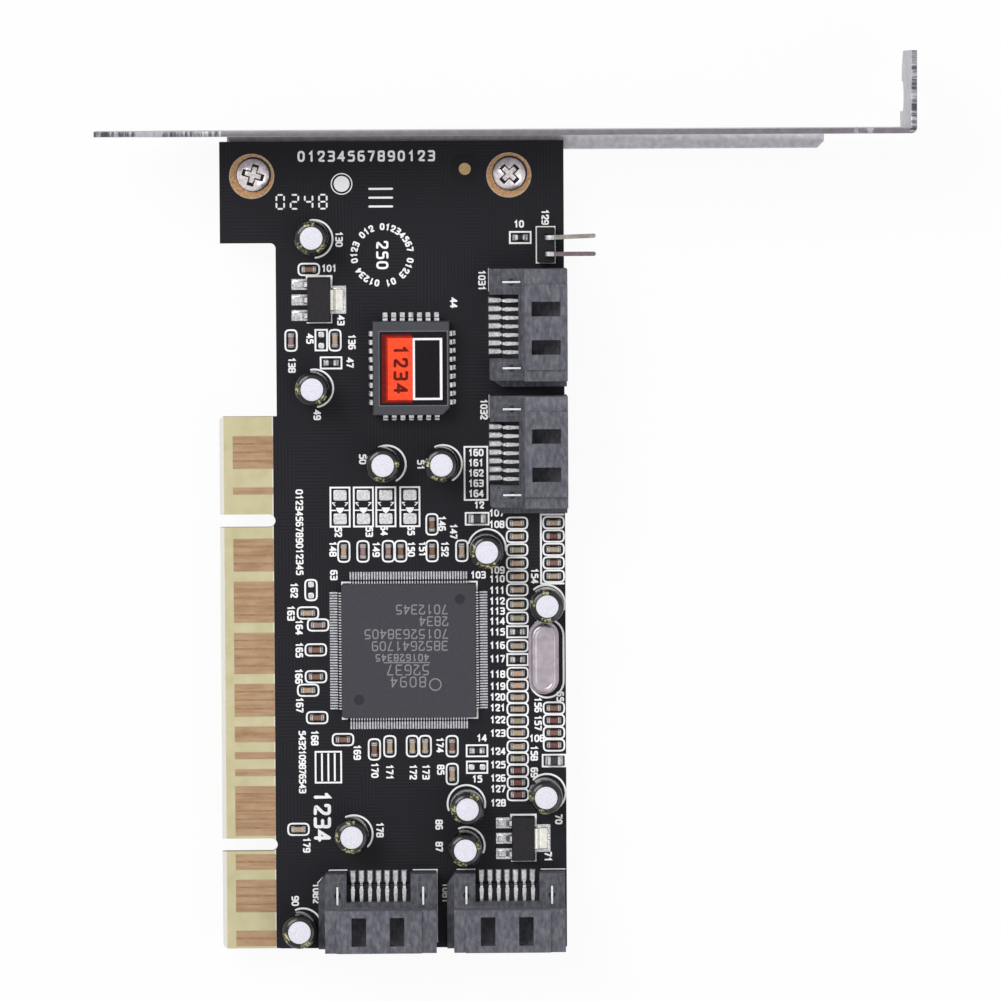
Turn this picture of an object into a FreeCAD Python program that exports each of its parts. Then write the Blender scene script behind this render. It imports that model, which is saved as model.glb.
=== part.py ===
import FreeCAD, Part
import os
import re
import Sketcher

# PCI storage controller card, in millimetres.
#
# The card lies flat: +X runs from the slot's edge connector to the far long edge, +Y runs along the
# board towards the steel bracket, +Z rises from the component side. The origin is the middle of the
# connector's mating edge, half-way between the two key notches, on the board's middle plane.

SIZES = {
    # circuit board
    "board_thick": 1.57,
    "board_right": 51.15,
    "board_low": -39.65,
    "board_high": 80.25,
    "body_edge": 8.5,           # from the mating edge to the body of the board
    "tongue_margin": 0.355,     # past the last contact, at each end of the edge connector
    "tongue_corner": 0.5,
    "bevel_run": 0.6,           # lead-in bevel on both sides of the mating edge
    "bevel_deep": 0.3,
    "ear_long": 15.0,           # ear that carries the left bracket screw, down from the short edge
    "ear_in": 0.28,             # its outer side, in from the mating edge
    "ear_corner": 0.8,          # round where it meets the body
    "key_places": 19,           # contact places from the origin to the middle of a key notch
    "key_width": 1.905,
    "key_deep": 8.2,
    "screw_hole": 3.5,
    "left_hole": 5.05,
    "right_hole": 43.05,
    "hole_inset": 5.1,          # screw holes, from the short edge
    # edge contacts
    "contact_pitch": 1.27,
    "contact_places": 62,
    "contact_width": 1.02,
    "contact_start": 1.95,
    "contact_end": 7.9,
    "contact_thick": 0.05,
    # steel bracket
    "sheet_thick": 0.86,
    "bracket_gap": 0.85,        # from the board's short edge to the plate
    "bracket_left": -17.75,
    "bracket_long": 120.02,
    "bracket_wide": 18.42,
    "tail_wide": 10.19,
    "tail_long": 6.05,
    "flange_left": 1.4,
    "flange_short": 12.47,      # short of the plate's far end
    "flange_lap": 1.35,         # how far the folded flange reaches under the board
    "flange_corner": 1.0,
    "lug_wide": 8.6,            # the two screw lugs of the flange
    "lug_past": 4.1,            # past the middle of the screw
    "lug_corner": 1.5,
    "screw_tab_long": 11.25,    # past the plate's outer face
    "screw_tab_ear": 3.17,      # past the plate's solder-side edge
    "screw_tab_corner": 2.6,
    "screw_slot": 4.42,
    "screw_slot_up": 4.5,       # middle of the slot from the plate's outer face
    "screw_slot_deep": 6.6,
    "edge_dip_in": 6.47,        # shallow dip in the component-side edge, from the far end
    "edge_dip_long": 2.8,
    "edge_dip_deep": 0.8,
    # bracket screws
    "thread": 2.5,
    "screw_head": 4.75,
    "screw_head_high": 1.9,
    "screw_head_slope": 0.4,
    "screw_recess_long": 2.7,
    "screw_recess_wide": 0.7,
    "screw_recess_deep": 1.1,
    "screw_past": 0.45,         # thread end past the lug
    "left_screw_off": 0.2,      # where each screw sits in its hole
    "right_screw_off": 0.05,
    "screw_line_off": 0.2,
    # controller chip
    "controller_x": 27.85,
    "controller_y": 4.75,
    "controller_size": 20.0,
    "controller_off": 0.1,      # clear of the board
    "controller_high": 1.4,
    "controller_draft": 8.0,    # degrees
    "controller_corner": 0.9,   # bevelled first-pin corner
    "controller_lead_out": 1.0,
    "controller_pitch": 0.4,
    "controller_side": 44,      # leads on a side
    "controller_lead_wide": 0.18,
    "controller_lead_thick": 0.13,
    "controller_foot": 0.55,
    # flash chip
    "flash_x": 28.45,
    "flash_y": 46.75,
    "flash_wide": 11.43,
    "flash_long": 13.97,
    "flash_off": 0.6,
    "flash_high": 2.8,
    "flash_part": 2.0,          # parting line above the board
    "flash_draft": 5.0,         # degrees
    "flash_corner": 1.0,        # bevelled first-pin corner
    "flash_pitch": 1.27,
    "flash_short_side": 7,
    "flash_long_side": 9,
    "flash_lead_wide": 0.7,
    "flash_lead_thick": 0.25,
    "flash_lead_out": 0.5,
    "label_off": 0.3,           # label's middle from the chip's
    "label_wide": 9.9,
    "label_long": 10.8,
    "label_thick": 0.1,
    # regulators
    "regulator_wide": 3.45,
    "regulator_long": 6.6,
    "regulator_off": 0.06,
    "regulator_high": 1.6,
    "regulator_draft": 6.0,     # degrees
    "regulator_lead_out": 1.775,
    "regulator_ways": 3,
    "regulator_pitch": 2.3,
    "regulator_lead_wide": 0.72,
    "regulator_tab_wide": 3.0,
    "regulator_lead_thick": 0.26,
    "regulator_foot": 1.0,
    # crystal
    "crystal_x": 47.85,
    "crystal_y": 3.6,
    "crystal_long": 11.0,
    "crystal_wide": 4.5,
    "crystal_base_thick": 0.55,
    "crystal_lip": 0.4,         # the base past the can, all round
    "crystal_high": 3.5,
    "crystal_bevel": 0.4,
    # right-angle pin header
    "header_left": 47.25,
    "header_wide": 2.5,
    "header_y": 64.8,
    "header_long": 5.2,
    "header_high": 2.5,
    "pin_pitch": 2.54,
    "pin_square": 0.64,
    "pin_bevel": 0.2,
    "pin_bend": 0.32,
    "pin_in": 1.0,              # from the block's left side to the pins
    "pin_high": 3.9,
    "pin_end": 55.75,
    # SATA headers, from the rear edge to the mouth and from the middle contact to each side
    "sata_past_right": 0.3,     # mouths past the board's long edge
    "sata_short_low": 0.1,      # mouths short of the board's lower edge
    "sata_deep": 11.45,
    "sata_left": 7.95,          # shell each side of the middle contact
    "sata_right": 8.55,
    "sata_high": 7.4,
    "sata_crown": 0.5,          # raised middle of the shell
    "sata_crown_left": 6.25,
    "sata_crown_right": 6.35,
    "sata_rear_deep": 5.1,
    "sata_rear_high": 4.6,
    "sata_corner_deep": 1.85,   # bevelled rear corner, along the shell and across it
    "sata_corner_side": 1.25,
    "sata_foot": 1.0,           # foot strip along the left side
    "sata_foot_high": 2.2,
    "sata_wall": 1.15,
    "sata_mouth_high": 4.9,
    "sata_web": 1.05,           # between the mouth and the well behind it
    "sata_well_half": 4.75,     # open rear well over the contact tails
    "sata_well_deep": 4.3,
    "sata_floor": 0.9,
    "sata_tongue_half": 5.1,
    "sata_tongue_under": 2.9,   # underside of the tongue above the board
    "sata_tongue_thick": 1.15,
    "sata_tongue_short": 0.6,   # tongue tip behind the mouth
    "sata_key_wide": 0.8,
    "sata_key_down": 1.1,
    "sata_window_front": 1.05,  # from the mouth
    "sata_window_long": 4.25,
    "sata_window_wide": 2.15,
    "sata_window_left": 2.95,
    "sata_window_right": 2.7,
    "sata_pitch": 1.27,
    "sata_ways": 7,
    "sata_contact_wide": 0.8,
    "sata_contact_thick": 0.2,
    "sata_contact_foot": 1.85,
    "sata_clip_left": 6.1,
    "sata_clip_right": 6.6,
    "sata_clip_rear": 1.9,
    "sata_clip_long": 2.7,
    "sata_clip_thick": 0.3,
    "sata_clip_slot": 0.06,     # clearance all round a clip
    # radial electrolytic capacitors
    "can_radius": 2.5,
    "can_high": 7.0,
    "lead_half_pitch": 1.0,
    "lead_end": 0.7,            # across the corners of a soldered lead end
    "lead_end_long": 1.2,
    "crystal_half_pitch": 2.44,
    # chip parts
    "chip_long": 1.6,
    "chip_wide": 0.8,
    "chip_high": 0.75,
    "resistor_high": 0.45,
    "bead_long": 2.0,
    "bead_wide": 1.25,
    "bead_high": 0.9,
}

# Contact positions that carry a contact, counted from the bracket end
FRONT_CONTACTS = [3, 4, 5, 6, 9, *range(15, 19), *range(20, 25), *range(26, 31), *range(32, 36),
                  37, 38, 40, 42, *range(44, 50), 52, 53, *range(55, 59), 61, 62]
BACK_CONTACTS = [4, 5, 6, 8, 15, 17, 18, 19, 20, *range(22, 27), *range(28, 33), *range(34, 39),
                 *range(40, 45), *range(46, 50), 52, *range(54, 59), 61, 62]

# Middle of each capacitor and the turn of its two leads from the X axis
CAPACITORS = [(13.85, 66.1, 90), (13.8, 43.85, 90), (24.15, 32.6, 0), (32.8, 32.6, 0),
              (39.4, 19.7, 90), (48.28, 11.65, 0), (47.98, -16.7, 0), (36.35, -18.35, 90),
              (36.0, -24.45, 0), (19.23, -22.4, 0), (11.42, -36.45, 90)]

# Regulators: middle of the moulded body
REGULATORS = [(14.85, 56.85), (44.7, -23.4)]

# SATA headers: rear edge at the middle contact, and the way the mouth faces, from the X axis
SATA_COLUMN = "board_right + sata_past_right - sata_deep"
SATA_ROW = "board_low + sata_short_low + sata_deep"
SATA_HEADERS = [(SATA_COLUMN, "52.85", 0), (SATA_COLUMN, "34.1", 0),
                ("42.25", SATA_ROW, -90), ("23.15", SATA_ROW, -90)]

# Degrees that each bracket screw's recess was left turned
SCREW_TURNS = (20, 45)

# Sides of a soldered lead end
LEAD_SIDES = 4

# A cut that opens a side starts this far outside the solid
OUTSIDE = "-1"

# Runs of chip parts: first place, step to the next, how many
ALONG_X = [(44.0, 23.55, 0, -1.98, 6), (44.0, 11.49, 0, -2.04, 2), (44.0, 5.3, 0, -4.1, 2),
           (43.97, -0.57, 0, -1.77, 5), (43.95, -9.7, 0, -1.8, 5), (49.42, 23.6, 0, -1.99, 5),
           (49.35, -4.0, 0, -1.84, 4), (12.92, 10.4, 1.5, -1.8, 2), (14.05, 4.9, 0, -4.0, 2),
           (12.88, -1.1, 1.3, -4.1, 2), (18.0, -8.5, 0, 0, 1), (13.4, 61.35, 0, 0, 1),
           (11.3, -21.85, 0, 0, 1)]
ALONG_Y = [(18.3, 19.5, 2.85, 0, 2), (24.9, 19.5, 1.85, 0, 2), (31.4, 19.5, 4.4, 0, 2),
           (31.4, 23.45, 0, 0, 1), (22.65, -10.0, 2.3, 0.45, 2), (28.3, -9.55, 1.9, 0, 2),
           (34.2, -9.6, 0, -4.15, 2), (10.7, 50.85, 6.5, 0, 2)]
RESISTORS = [(44.0, 7.4), (44.0, 3.25), (16.6, 47.5), (44.7, 65.9), (37.9, -10.3)]
BEADS = [(49.35, -11.85), (38.1, 24.25)]

doc = FreeCAD.newDocument("storage_card")
sheet = doc.addObject("Spreadsheet::Sheet", "Sizes")
for row, (alias, value) in enumerate(SIZES.items(), start=1):
    sheet.set(f"A{row}", alias)
    sheet.set(f"B{row}", str(value))
    sheet.setAlias(f"B{row}", alias)
doc.recompute()

sub_parts = []


def size(alias):
    """One driving size, as a number."""
    return float(sheet.get(alias))


def linked(expression):
    """Point every alias of an expression at the sheet."""
    return re.sub(r"[a-z_]+", lambda word: "Sizes." + word[0] if word[0] in SIZES else word[0],
                  str(expression))


def value_of(expression):
    """What an expression of the sheet's aliases comes to now."""
    return float(sheet.evalExpression(linked(expression)))


def bind(thing, name, expression):
    """Tie one property to an expression of the sheet's aliases."""
    thing.setExpression(name, linked(expression))


def keep(thing, label):
    """Name a finished sub-part and put it on the list to export."""
    thing.Label = label
    sub_parts.append(thing)
    return thing


def place(thing, x, y, z, turn=0):
    """Set a sub-part down: expressions for its place, degrees about Z for its turn."""
    if turn:
        thing.Placement = FreeCAD.Placement(FreeCAD.Vector(), FreeCAD.Rotation(turn, 0, 0))
    for axis, expression in zip("xyz", (x, y, z)):
        bind(thing, f"Placement.Base.{axis}", expression)


def new_body(name):
    """An empty body."""
    return doc.addObject("PartDesign::Body", name)


def sketch_on(body, name, plane, level):
    """A sketch on one of the body's origin planes, lifted by an expression along its normal."""
    sketch = body.newObject("Sketcher::SketchObject", name)
    origin_plane = next(one for one in body.Origin.OriginFeatures if one.Role == plane)
    sketch.AttachmentSupport = [(origin_plane, "")]
    sketch.MapMode = "FlatFace"
    bind(sketch, "AttachmentOffset.Base.z", level)
    return sketch


def pin_point(sketch, edge, point, x, y):
    """Tie a sketch point to two expressions, measured from the sketch's origin."""
    for kind, expression in (("DistanceX", x), ("DistanceY", y)):
        datum = value_of(expression)
        index = sketch.addConstraint(Sketcher.Constraint(kind, -1, 1, edge, point, datum))
        bind(sketch, f"Constraints[{index}]", expression)


def add_loop(sketch, corners):
    """Draw a closed loop of straight lines through corners given as pairs of expressions."""
    points = [FreeCAD.Vector(value_of(x), value_of(y), 0) for x, y in corners]
    first = sketch.GeometryCount
    count = len(points)
    for index in range(count):
        line = Part.LineSegment(points[index], points[(index + 1) % count])
        sketch.addGeometry(line, False)
    for index in range(count):
        after = first + (index + 1) % count
        sketch.addConstraint(Sketcher.Constraint("Coincident", first + index, 2, after, 1))
    for index, (x, y) in enumerate(corners):
        pin_point(sketch, first + index, 1, x, y)


def add_rectangle(sketch, left, low, right, high):
    """Draw a rectangle between two corners."""
    add_loop(sketch, [(left, low), (right, low), (right, high), (left, high)])


def add_circle(sketch, x, y, diameter):
    """Draw a circle at a place, by its diameter."""
    centre = FreeCAD.Vector(value_of(x), value_of(y), 0)
    across = value_of(diameter)
    edge = sketch.addGeometry(Part.Circle(centre, FreeCAD.Vector(0, 0, 1), across / 2), False)
    pin_point(sketch, edge, 3, x, y)
    index = sketch.addConstraint(Sketcher.Constraint("Diameter", edge, across))
    bind(sketch, f"Constraints[{index}]", diameter)


def pad(body, sketch, length, draft=None, down=False):
    """Raise a sketch into a solid; draft in degrees narrows it as it rises."""
    feature = body.newObject("PartDesign::Pad", sketch.Name + "_pad")
    feature.Profile = sketch
    feature.Reversed = down
    bind(feature, "Length", length)
    if draft:
        bind(feature, "TaperAngle", f"-1 * {draft}")
    return feature


def pocket(body, sketch, length, against=False):
    """Cut a sketch out of the solid, along its normal, or against it."""
    feature = body.newObject("PartDesign::Pocket", sketch.Name + "_pocket")
    feature.Profile = sketch
    feature.Reversed = not against
    bind(feature, "Length", length)
    return feature


def dress(body, kind, name, chosen, size_name, expression):
    """Round or bevel the edges of the body's present shape that the test picks."""
    doc.recompute()
    base = body.Tip
    edges = [f"Edge{number}" for number, edge in enumerate(base.Shape.Edges, start=1)
             if chosen(edge)]
    if not edges:
        raise RuntimeError(f"{name} found no edge")
    feature = body.newObject(kind, name)
    feature.Base = (base, edges)
    bind(feature, size_name, expression)
    return feature


def upright_at(*places):
    """A test for edges along Z that stand at one of the X, Y places."""
    def test(edge):
        box = edge.BoundBox
        return box.ZLength > 0.1 and box.XLength + box.YLength < 1e-4 and any(
            abs(box.XMin - x) + abs(box.YMin - y) < 1e-3 for x, y in places)
    return test


def prism(outline, across, turn, at):
    """A flat outline in X and Z, made as thick as across, turned about Z and set down."""
    points = [FreeCAD.Vector(x, -across / 2, z) for x, z in outline]
    face = Part.Face(Part.makePolygon(points + points[:1]))
    solid = face.extrude(FreeCAD.Vector(0, across, 0))
    solid.Placement = FreeCAD.Placement(FreeCAD.Vector(*at), FreeCAD.Rotation(turn, 0, 0))
    return solid


def block(x, y, z, long, wide, high):
    """A plain block on a middle point of its underside."""
    return Part.makeBox(long, wide, high, FreeCAD.Vector(x - long / 2, y - wide / 2, z))


def group(label, solids):
    """Like pieces in one sub-part, each still a solid of its own."""
    feature = doc.addObject("Part::Feature", label)
    feature.Shape = Part.makeCompound(solids)
    return keep(feature, label)


def spread(count, pitch):
    """Places of a row of like pieces about its middle."""
    return [(index - (count - 1) / 2) * pitch for index in range(count)]


TOP = "board_thick / 2"
BACK = "-1 * board_thick / 2"
TONGUE_HALF = "((contact_places - 1) / 2 * contact_pitch + contact_width / 2 + tongue_margin)"
EAR_LOW = "(board_high - ear_long)"
HOLE_LINE = "(board_high - hole_inset)"
SCREW_LINE = "(board_high - hole_inset + screw_line_off)"
LEFT_SCREW = "(left_hole + left_screw_off)"
RIGHT_SCREW = "(right_hole + right_screw_off)"


def circuit_board():
    """Body, tongue and ear in one outline, with key notches, screw holes and bevelled edge.

    The ear meets the body in a round inside corner.
    """
    body = new_body("circuit_board")
    outline = sketch_on(body, "board_outline", "XY_Plane", BACK)
    add_loop(outline, [
        ("tongue_corner", f"-1 * {TONGUE_HALF}"), ("body_edge", f"-1 * {TONGUE_HALF}"),
        ("body_edge", "board_low"), ("board_right", "board_low"),
        ("board_right", "board_high"), ("ear_in", "board_high"), ("ear_in", EAR_LOW),
        ("body_edge", EAR_LOW), ("body_edge", TONGUE_HALF),
        ("tongue_corner", TONGUE_HALF), ("0", f"{TONGUE_HALF} - tongue_corner"),
        ("0", f"tongue_corner - {TONGUE_HALF}")])
    pad(body, outline, "board_thick")
    notches = sketch_on(body, "key_notches", "XY_Plane", BACK)
    ends = sketch_on(body, "key_ends", "XY_Plane", BACK)
    for side in ("", "-1 * "):
        middle = f"{side}key_places * contact_pitch"
        add_rectangle(notches, OUTSIDE, f"{middle} - key_width / 2",
                      "key_deep - key_width / 2", f"{middle} + key_width / 2")
        add_circle(ends, "key_deep - key_width / 2", middle, "key_width")
    pocket(body, notches, "board_thick")
    pocket(body, ends, "board_thick")
    holes = sketch_on(body, "screw_holes", "XY_Plane", BACK)
    add_circle(holes, "left_hole", HOLE_LINE, "screw_hole")
    add_circle(holes, "right_hole", HOLE_LINE, "screw_hole")
    pocket(body, holes, "board_thick")
    for name, sign in (("front", ""), ("back", "-1 * ")):
        bevel = sketch_on(body, f"bevel_{name}", "XZ_Plane", f"-1 * {TONGUE_HALF}")
        add_loop(bevel, [("0", f"{sign}board_thick / 2"), ("bevel_run", f"{sign}board_thick / 2"),
                         ("0", f"{sign}(board_thick / 2 - bevel_deep)")])
        pocket(body, bevel, f"2 * {TONGUE_HALF}")
    inside = (value_of("body_edge"), value_of(EAR_LOW))
    dress(body, "PartDesign::Fillet", "ear_round", upright_at(inside), "Radius", "ear_corner")
    return keep(body, "circuit_board")


def edge_contacts():
    """Thin contact pads on both faces of the tongue."""
    long = size("contact_end") - size("contact_start")
    middle = (size("contact_end") + size("contact_start")) / 2
    first = (size("contact_places") + 1) / 2
    half = size("board_thick") / 2
    for label, places, level in (("edge_contacts_front", FRONT_CONTACTS, half),
                                 ("edge_contacts_back", BACK_CONTACTS,
                                  -half - size("contact_thick"))):
        group(label, [block(middle, (first - number) * size("contact_pitch"), level,
                            long, size("contact_width"), size("contact_thick"))
                      for number in places])


PLATE_IN = "(board_high + bracket_gap)"
PLATE_OUT = "(board_high + bracket_gap + sheet_thick)"
PLATE_LOW = "(-1 * board_thick / 2 - sheet_thick)"
PLATE_HIGH = "(bracket_wide - board_thick / 2 - sheet_thick)"
PLATE_END = "(bracket_left + bracket_long)"


def bracket():
    """One folded sheet: slotted plate, flange with two screw lugs under the board, screw tab."""
    body = new_body("bracket")
    plate = sketch_on(body, "plate", "XZ_Plane", f"-1 * {PLATE_OUT}")
    taper = "((bracket_wide - tail_wide) / 2)"
    tail = "(bracket_left + tail_long)"
    dip_far = f"({PLATE_END} - edge_dip_in)"
    dip_near = f"({PLATE_END} - edge_dip_in - edge_dip_long)"
    dip_low = f"{PLATE_HIGH} - edge_dip_deep"
    add_loop(plate, [
        ("bracket_left", f"{PLATE_LOW} + {taper}"), (tail, f"{PLATE_LOW} + {taper}"),
        (f"{tail} + {taper}", PLATE_LOW), (PLATE_END, PLATE_LOW),
        (PLATE_END, PLATE_HIGH), (dip_far, PLATE_HIGH), (f"{dip_far} - edge_dip_deep", dip_low),
        (f"{dip_near} + edge_dip_deep", dip_low), (dip_near, PLATE_HIGH),
        (f"{tail} + {taper}", PLATE_HIGH), (tail, f"{PLATE_HIGH} - {taper}"),
        ("bracket_left", f"{PLATE_HIGH} - {taper}")])
    pad(body, plate, "sheet_thick")

    flange = sketch_on(body, "flange", "XY_Plane", PLATE_LOW)
    edge = "(board_high - flange_lap)"
    lug_end = f"({SCREW_LINE} - lug_past)"
    lug_sides = ["flange_left", f"{LEFT_SCREW} + lug_wide / 2",
                 f"{RIGHT_SCREW} - lug_wide / 2", f"{RIGHT_SCREW} + lug_wide / 2"]
    flange_right = f"({PLATE_END} - flange_short)"
    add_loop(flange, [
        (lug_sides[0], lug_end), (lug_sides[1], lug_end), (lug_sides[1], edge),
        (lug_sides[2], edge), (lug_sides[2], lug_end), (lug_sides[3], lug_end),
        (lug_sides[3], edge), (f"{flange_right} - flange_corner", edge),
        (flange_right, f"{edge} + flange_corner"), (flange_right, PLATE_OUT),
        ("flange_left", PLATE_OUT)])
    pad(body, flange, "sheet_thick")

    tab = sketch_on(body, "screw_tab", "YZ_Plane", f"{PLATE_END} - sheet_thick")
    end = f"({PLATE_OUT} + screw_tab_long)"
    ear = f"({PLATE_LOW} - screw_tab_ear)"
    slot_near = f"({PLATE_OUT} + screw_slot_up - screw_slot / 2)"
    slot_far = f"({PLATE_OUT} + screw_slot_up + screw_slot / 2)"
    add_loop(tab, [
        (PLATE_IN, PLATE_HIGH), (PLATE_IN, PLATE_LOW), (PLATE_OUT, PLATE_LOW),
        (PLATE_OUT, ear), (slot_near, ear),
        (slot_near, f"{ear} + screw_slot_deep - screw_slot / 2"),
        (slot_far, f"{ear} + screw_slot_deep - screw_slot / 2"), (slot_far, PLATE_LOW),
        (f"{end} - screw_tab_corner", PLATE_LOW), (end, f"{PLATE_LOW} + screw_tab_corner"),
        (end, PLATE_HIGH)])
    pad(body, tab, "sheet_thick")
    slot_end = sketch_on(body, "slot_end", "YZ_Plane", f"{PLATE_END} - sheet_thick")
    add_circle(slot_end, f"{PLATE_OUT} + screw_slot_up",
               f"{ear} + screw_slot_deep - screw_slot / 2", "screw_slot")
    pocket(body, slot_end, "sheet_thick")

    threads = sketch_on(body, "threads", "XY_Plane", PLATE_LOW)
    add_circle(threads, LEFT_SCREW, SCREW_LINE, "thread")
    add_circle(threads, RIGHT_SCREW, SCREW_LINE, "thread")
    pocket(body, threads, "sheet_thick")

    bend = (value_of(PLATE_END), value_of(PLATE_IN))
    dress(body, "PartDesign::Fillet", "tab_bend", upright_at(bend), "Radius", "sheet_thick")
    corners = [(value_of(side), value_of(lug_end)) for side in lug_sides]
    dress(body, "PartDesign::Chamfer", "lug_corners", upright_at(*corners), "Size", "lug_corner")
    return keep(body, "bracket")


def bracket_screws():
    """Pan-head screws with a cross recess."""
    radius = size("screw_head") / 2
    high = size("screw_head_high")
    top = size("board_thick") / 2
    past = size("board_thick") + size("sheet_thick") + size("screw_past")
    screws = []
    for x, turn in zip((value_of(LEFT_SCREW), value_of(RIGHT_SCREW)), SCREW_TURNS):
        head = Part.makeCone(radius, radius - size("screw_head_slope"), high)
        shank = Part.makeCylinder(size("thread") / 2, past, FreeCAD.Vector(0, 0, -past))
        screw = head.fuse(shank)
        for quarter in (0, 90):
            arm = block(0, 0, high - size("screw_recess_deep"), size("screw_recess_long"),
                        size("screw_recess_wide"), high)
            arm.rotate(FreeCAD.Vector(), FreeCAD.Vector(0, 0, 1), turn + quarter)
            screw = screw.cut(arm)
        screw.translate(FreeCAD.Vector(x, value_of(SCREW_LINE), top))
        screws.append(screw)
    group("bracket_screws", screws)


def moulded_body(name, wide, long, low, part_line, high, draft, corner, x, y):
    """A moulded package: drafted up and down from its parting line, one corner bevelled."""
    body = new_body(name)
    for half, length, down in (("upper", f"{high} + {low} - {part_line}", False),
                               ("lower", f"{part_line} - {low}", True)):
        sketch = sketch_on(body, f"{name}_{half}", "XY_Plane", part_line)
        right, far = f"({wide} / 2)", f"({long} / 2)"
        corners = [(f"-1 * {right}", f"-1 * {far}"), (right, f"-1 * {far}"), (right, far),
                   (f"{corner} - {right}", far), (f"-1 * {right}", f"{far} - {corner}")]
        if corner == "0":
            corners = corners[:3] + [(f"-1 * {right}", far)]
        add_loop(sketch, corners)
        pad(body, sketch, length, draft, down)
    place(body, x, y, TOP)
    return keep(body, name)


def controller():
    """Square 176-lead chip: a moulded body and gull-wing leads on four sides."""
    moulded_body("controller_body", "controller_size", "controller_size", "controller_off",
                 "(controller_off + controller_high / 2)", "controller_high",
                 "controller_draft", "controller_corner", "controller_x", "controller_y")
    root = size("controller_size") / 2
    toe = root + size("controller_lead_out")
    knee = toe - size("controller_foot")
    thick = size("controller_lead_thick")
    level = size("controller_off") + size("controller_high") / 2
    outline = [(root, level), (knee, 0), (toe, 0), (knee + thick, thick)]
    top = size("board_thick") / 2
    leads = []
    for turn in (0, 90, 180, 270):
        around = FreeCAD.Rotation(turn, 0, 0)
        for along in spread(int(size("controller_side")), size("controller_pitch")):
            at = around.multVec(FreeCAD.Vector(0, along, top))
            at += FreeCAD.Vector(size("controller_x"), size("controller_y"), 0)
            leads.append(prism(outline, size("controller_lead_wide"), turn, at))
    group("controller_leads", leads)


def flash_chip():
    """Thick chip whose leads turn straight down beside it, and a label stuck on its top."""
    moulded_body("flash_body", "flash_wide", "flash_long", "flash_off", "flash_part",
                 "flash_high", "flash_draft", "flash_corner", "flash_x", "flash_y")
    thick = size("flash_lead_thick")
    level = size("flash_part")
    top = size("board_thick") / 2
    leads = []
    for turn in (0, 90, 180, 270):
        side = turn % 180 == 0
        root = size("flash_wide" if side else "flash_long") / 2
        out = root + size("flash_lead_out")
        outline = [(root, level), (out, level), (out, 0), (out - thick, 0),
                   (out - thick, level - thick)]
        count = int(size("flash_long_side" if side else "flash_short_side"))
        around = FreeCAD.Rotation(turn, 0, 0)
        for along in spread(count, size("flash_pitch")):
            at = around.multVec(FreeCAD.Vector(0, along, top))
            at += FreeCAD.Vector(size("flash_x"), size("flash_y"), 0)
            leads.append(prism(outline, size("flash_lead_wide"), turn, at))
    group("flash_leads", leads)
    label = doc.addObject("Part::Box", "flash_label")
    bind(label, "Length", "label_wide")
    bind(label, "Width", "label_long")
    bind(label, "Height", "label_thick")
    place(label, "flash_x + label_off - label_wide / 2", "flash_y - label_long / 2",
          f"{TOP} + flash_off + flash_high")
    keep(label, "flash_label")


def regulators():
    """Two power packages: three leads on the left, one wide tab on the right."""
    thick = size("regulator_lead_thick")
    root = size("regulator_wide") / 2
    toe = root + size("regulator_lead_out")
    knee = toe - size("regulator_foot")
    level = size("regulator_off") + size("regulator_high") / 2 - thick / 2
    outline = [(root, level), (knee, 0), (toe, 0), (toe, thick), (knee + thick / 2, thick),
               (root, level + thick)]
    top = size("board_thick") / 2
    for number, (x, y) in enumerate(REGULATORS, start=1):
        moulded_body(f"regulator_{number}_body", "regulator_wide", "regulator_long",
                     "regulator_off", "(regulator_off + regulator_high / 2)", "regulator_high",
                     "regulator_draft", "0", x, y)
        leads = [prism(outline, size("regulator_lead_wide"), 180, (x, y + along, top))
                 for along in spread(int(size("regulator_ways")), size("regulator_pitch"))]
        leads.append(prism(outline, size("regulator_tab_wide"), 0, (x, y, top)))
        group(f"regulator_{number}_leads", leads)


def stadium(name, long, wide, level, high):
    """A round-ended plate lengthways along Y: a block and two end cylinders in one."""
    middle = doc.addObject("Part::Box", name + "_middle")
    bind(middle, "Length", wide)
    bind(middle, "Width", f"{long} - {wide}")
    bind(middle, "Height", high)
    place(middle, f"crystal_x - ({wide}) / 2", f"crystal_y - ({long} - {wide}) / 2", level)
    ends = []
    for side, sign in (("low", "-"), ("high", "+")):
        end = doc.addObject("Part::Cylinder", f"{name}_{side}")
        bind(end, "Radius", f"({wide}) / 2")
        bind(end, "Height", high)
        place(end, "crystal_x", f"crystal_y {sign} ({long} - {wide}) / 2", level)
        ends.append(end)
    fused = doc.addObject("Part::MultiFuse", name + "_plate")
    fused.Shapes = [middle, *ends]
    fused.Refine = True
    return fused


def crystal():
    """Drawn metal can on a lipped base plate."""
    keep(stadium("crystal_base", "crystal_long", "crystal_wide", TOP, "crystal_base_thick"),
         "crystal_base")
    can = stadium("crystal_can", "(crystal_long - 2 * crystal_lip)",
                  "(crystal_wide - 2 * crystal_lip)", f"{TOP} + crystal_base_thick",
                  "crystal_high - crystal_base_thick")
    doc.recompute()
    high = size("board_thick") / 2 + size("crystal_high")
    drawn = doc.addObject("Part::Chamfer", "crystal_can_drawn")
    drawn.Base = can
    bevel = size("crystal_bevel")
    drawn.Edges = [(number, bevel, bevel) for number, edge in enumerate(can.Shape.Edges, 1)
                   if abs(edge.BoundBox.ZMin - high) < 1e-3]
    keep(drawn, "crystal_can")


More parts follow.
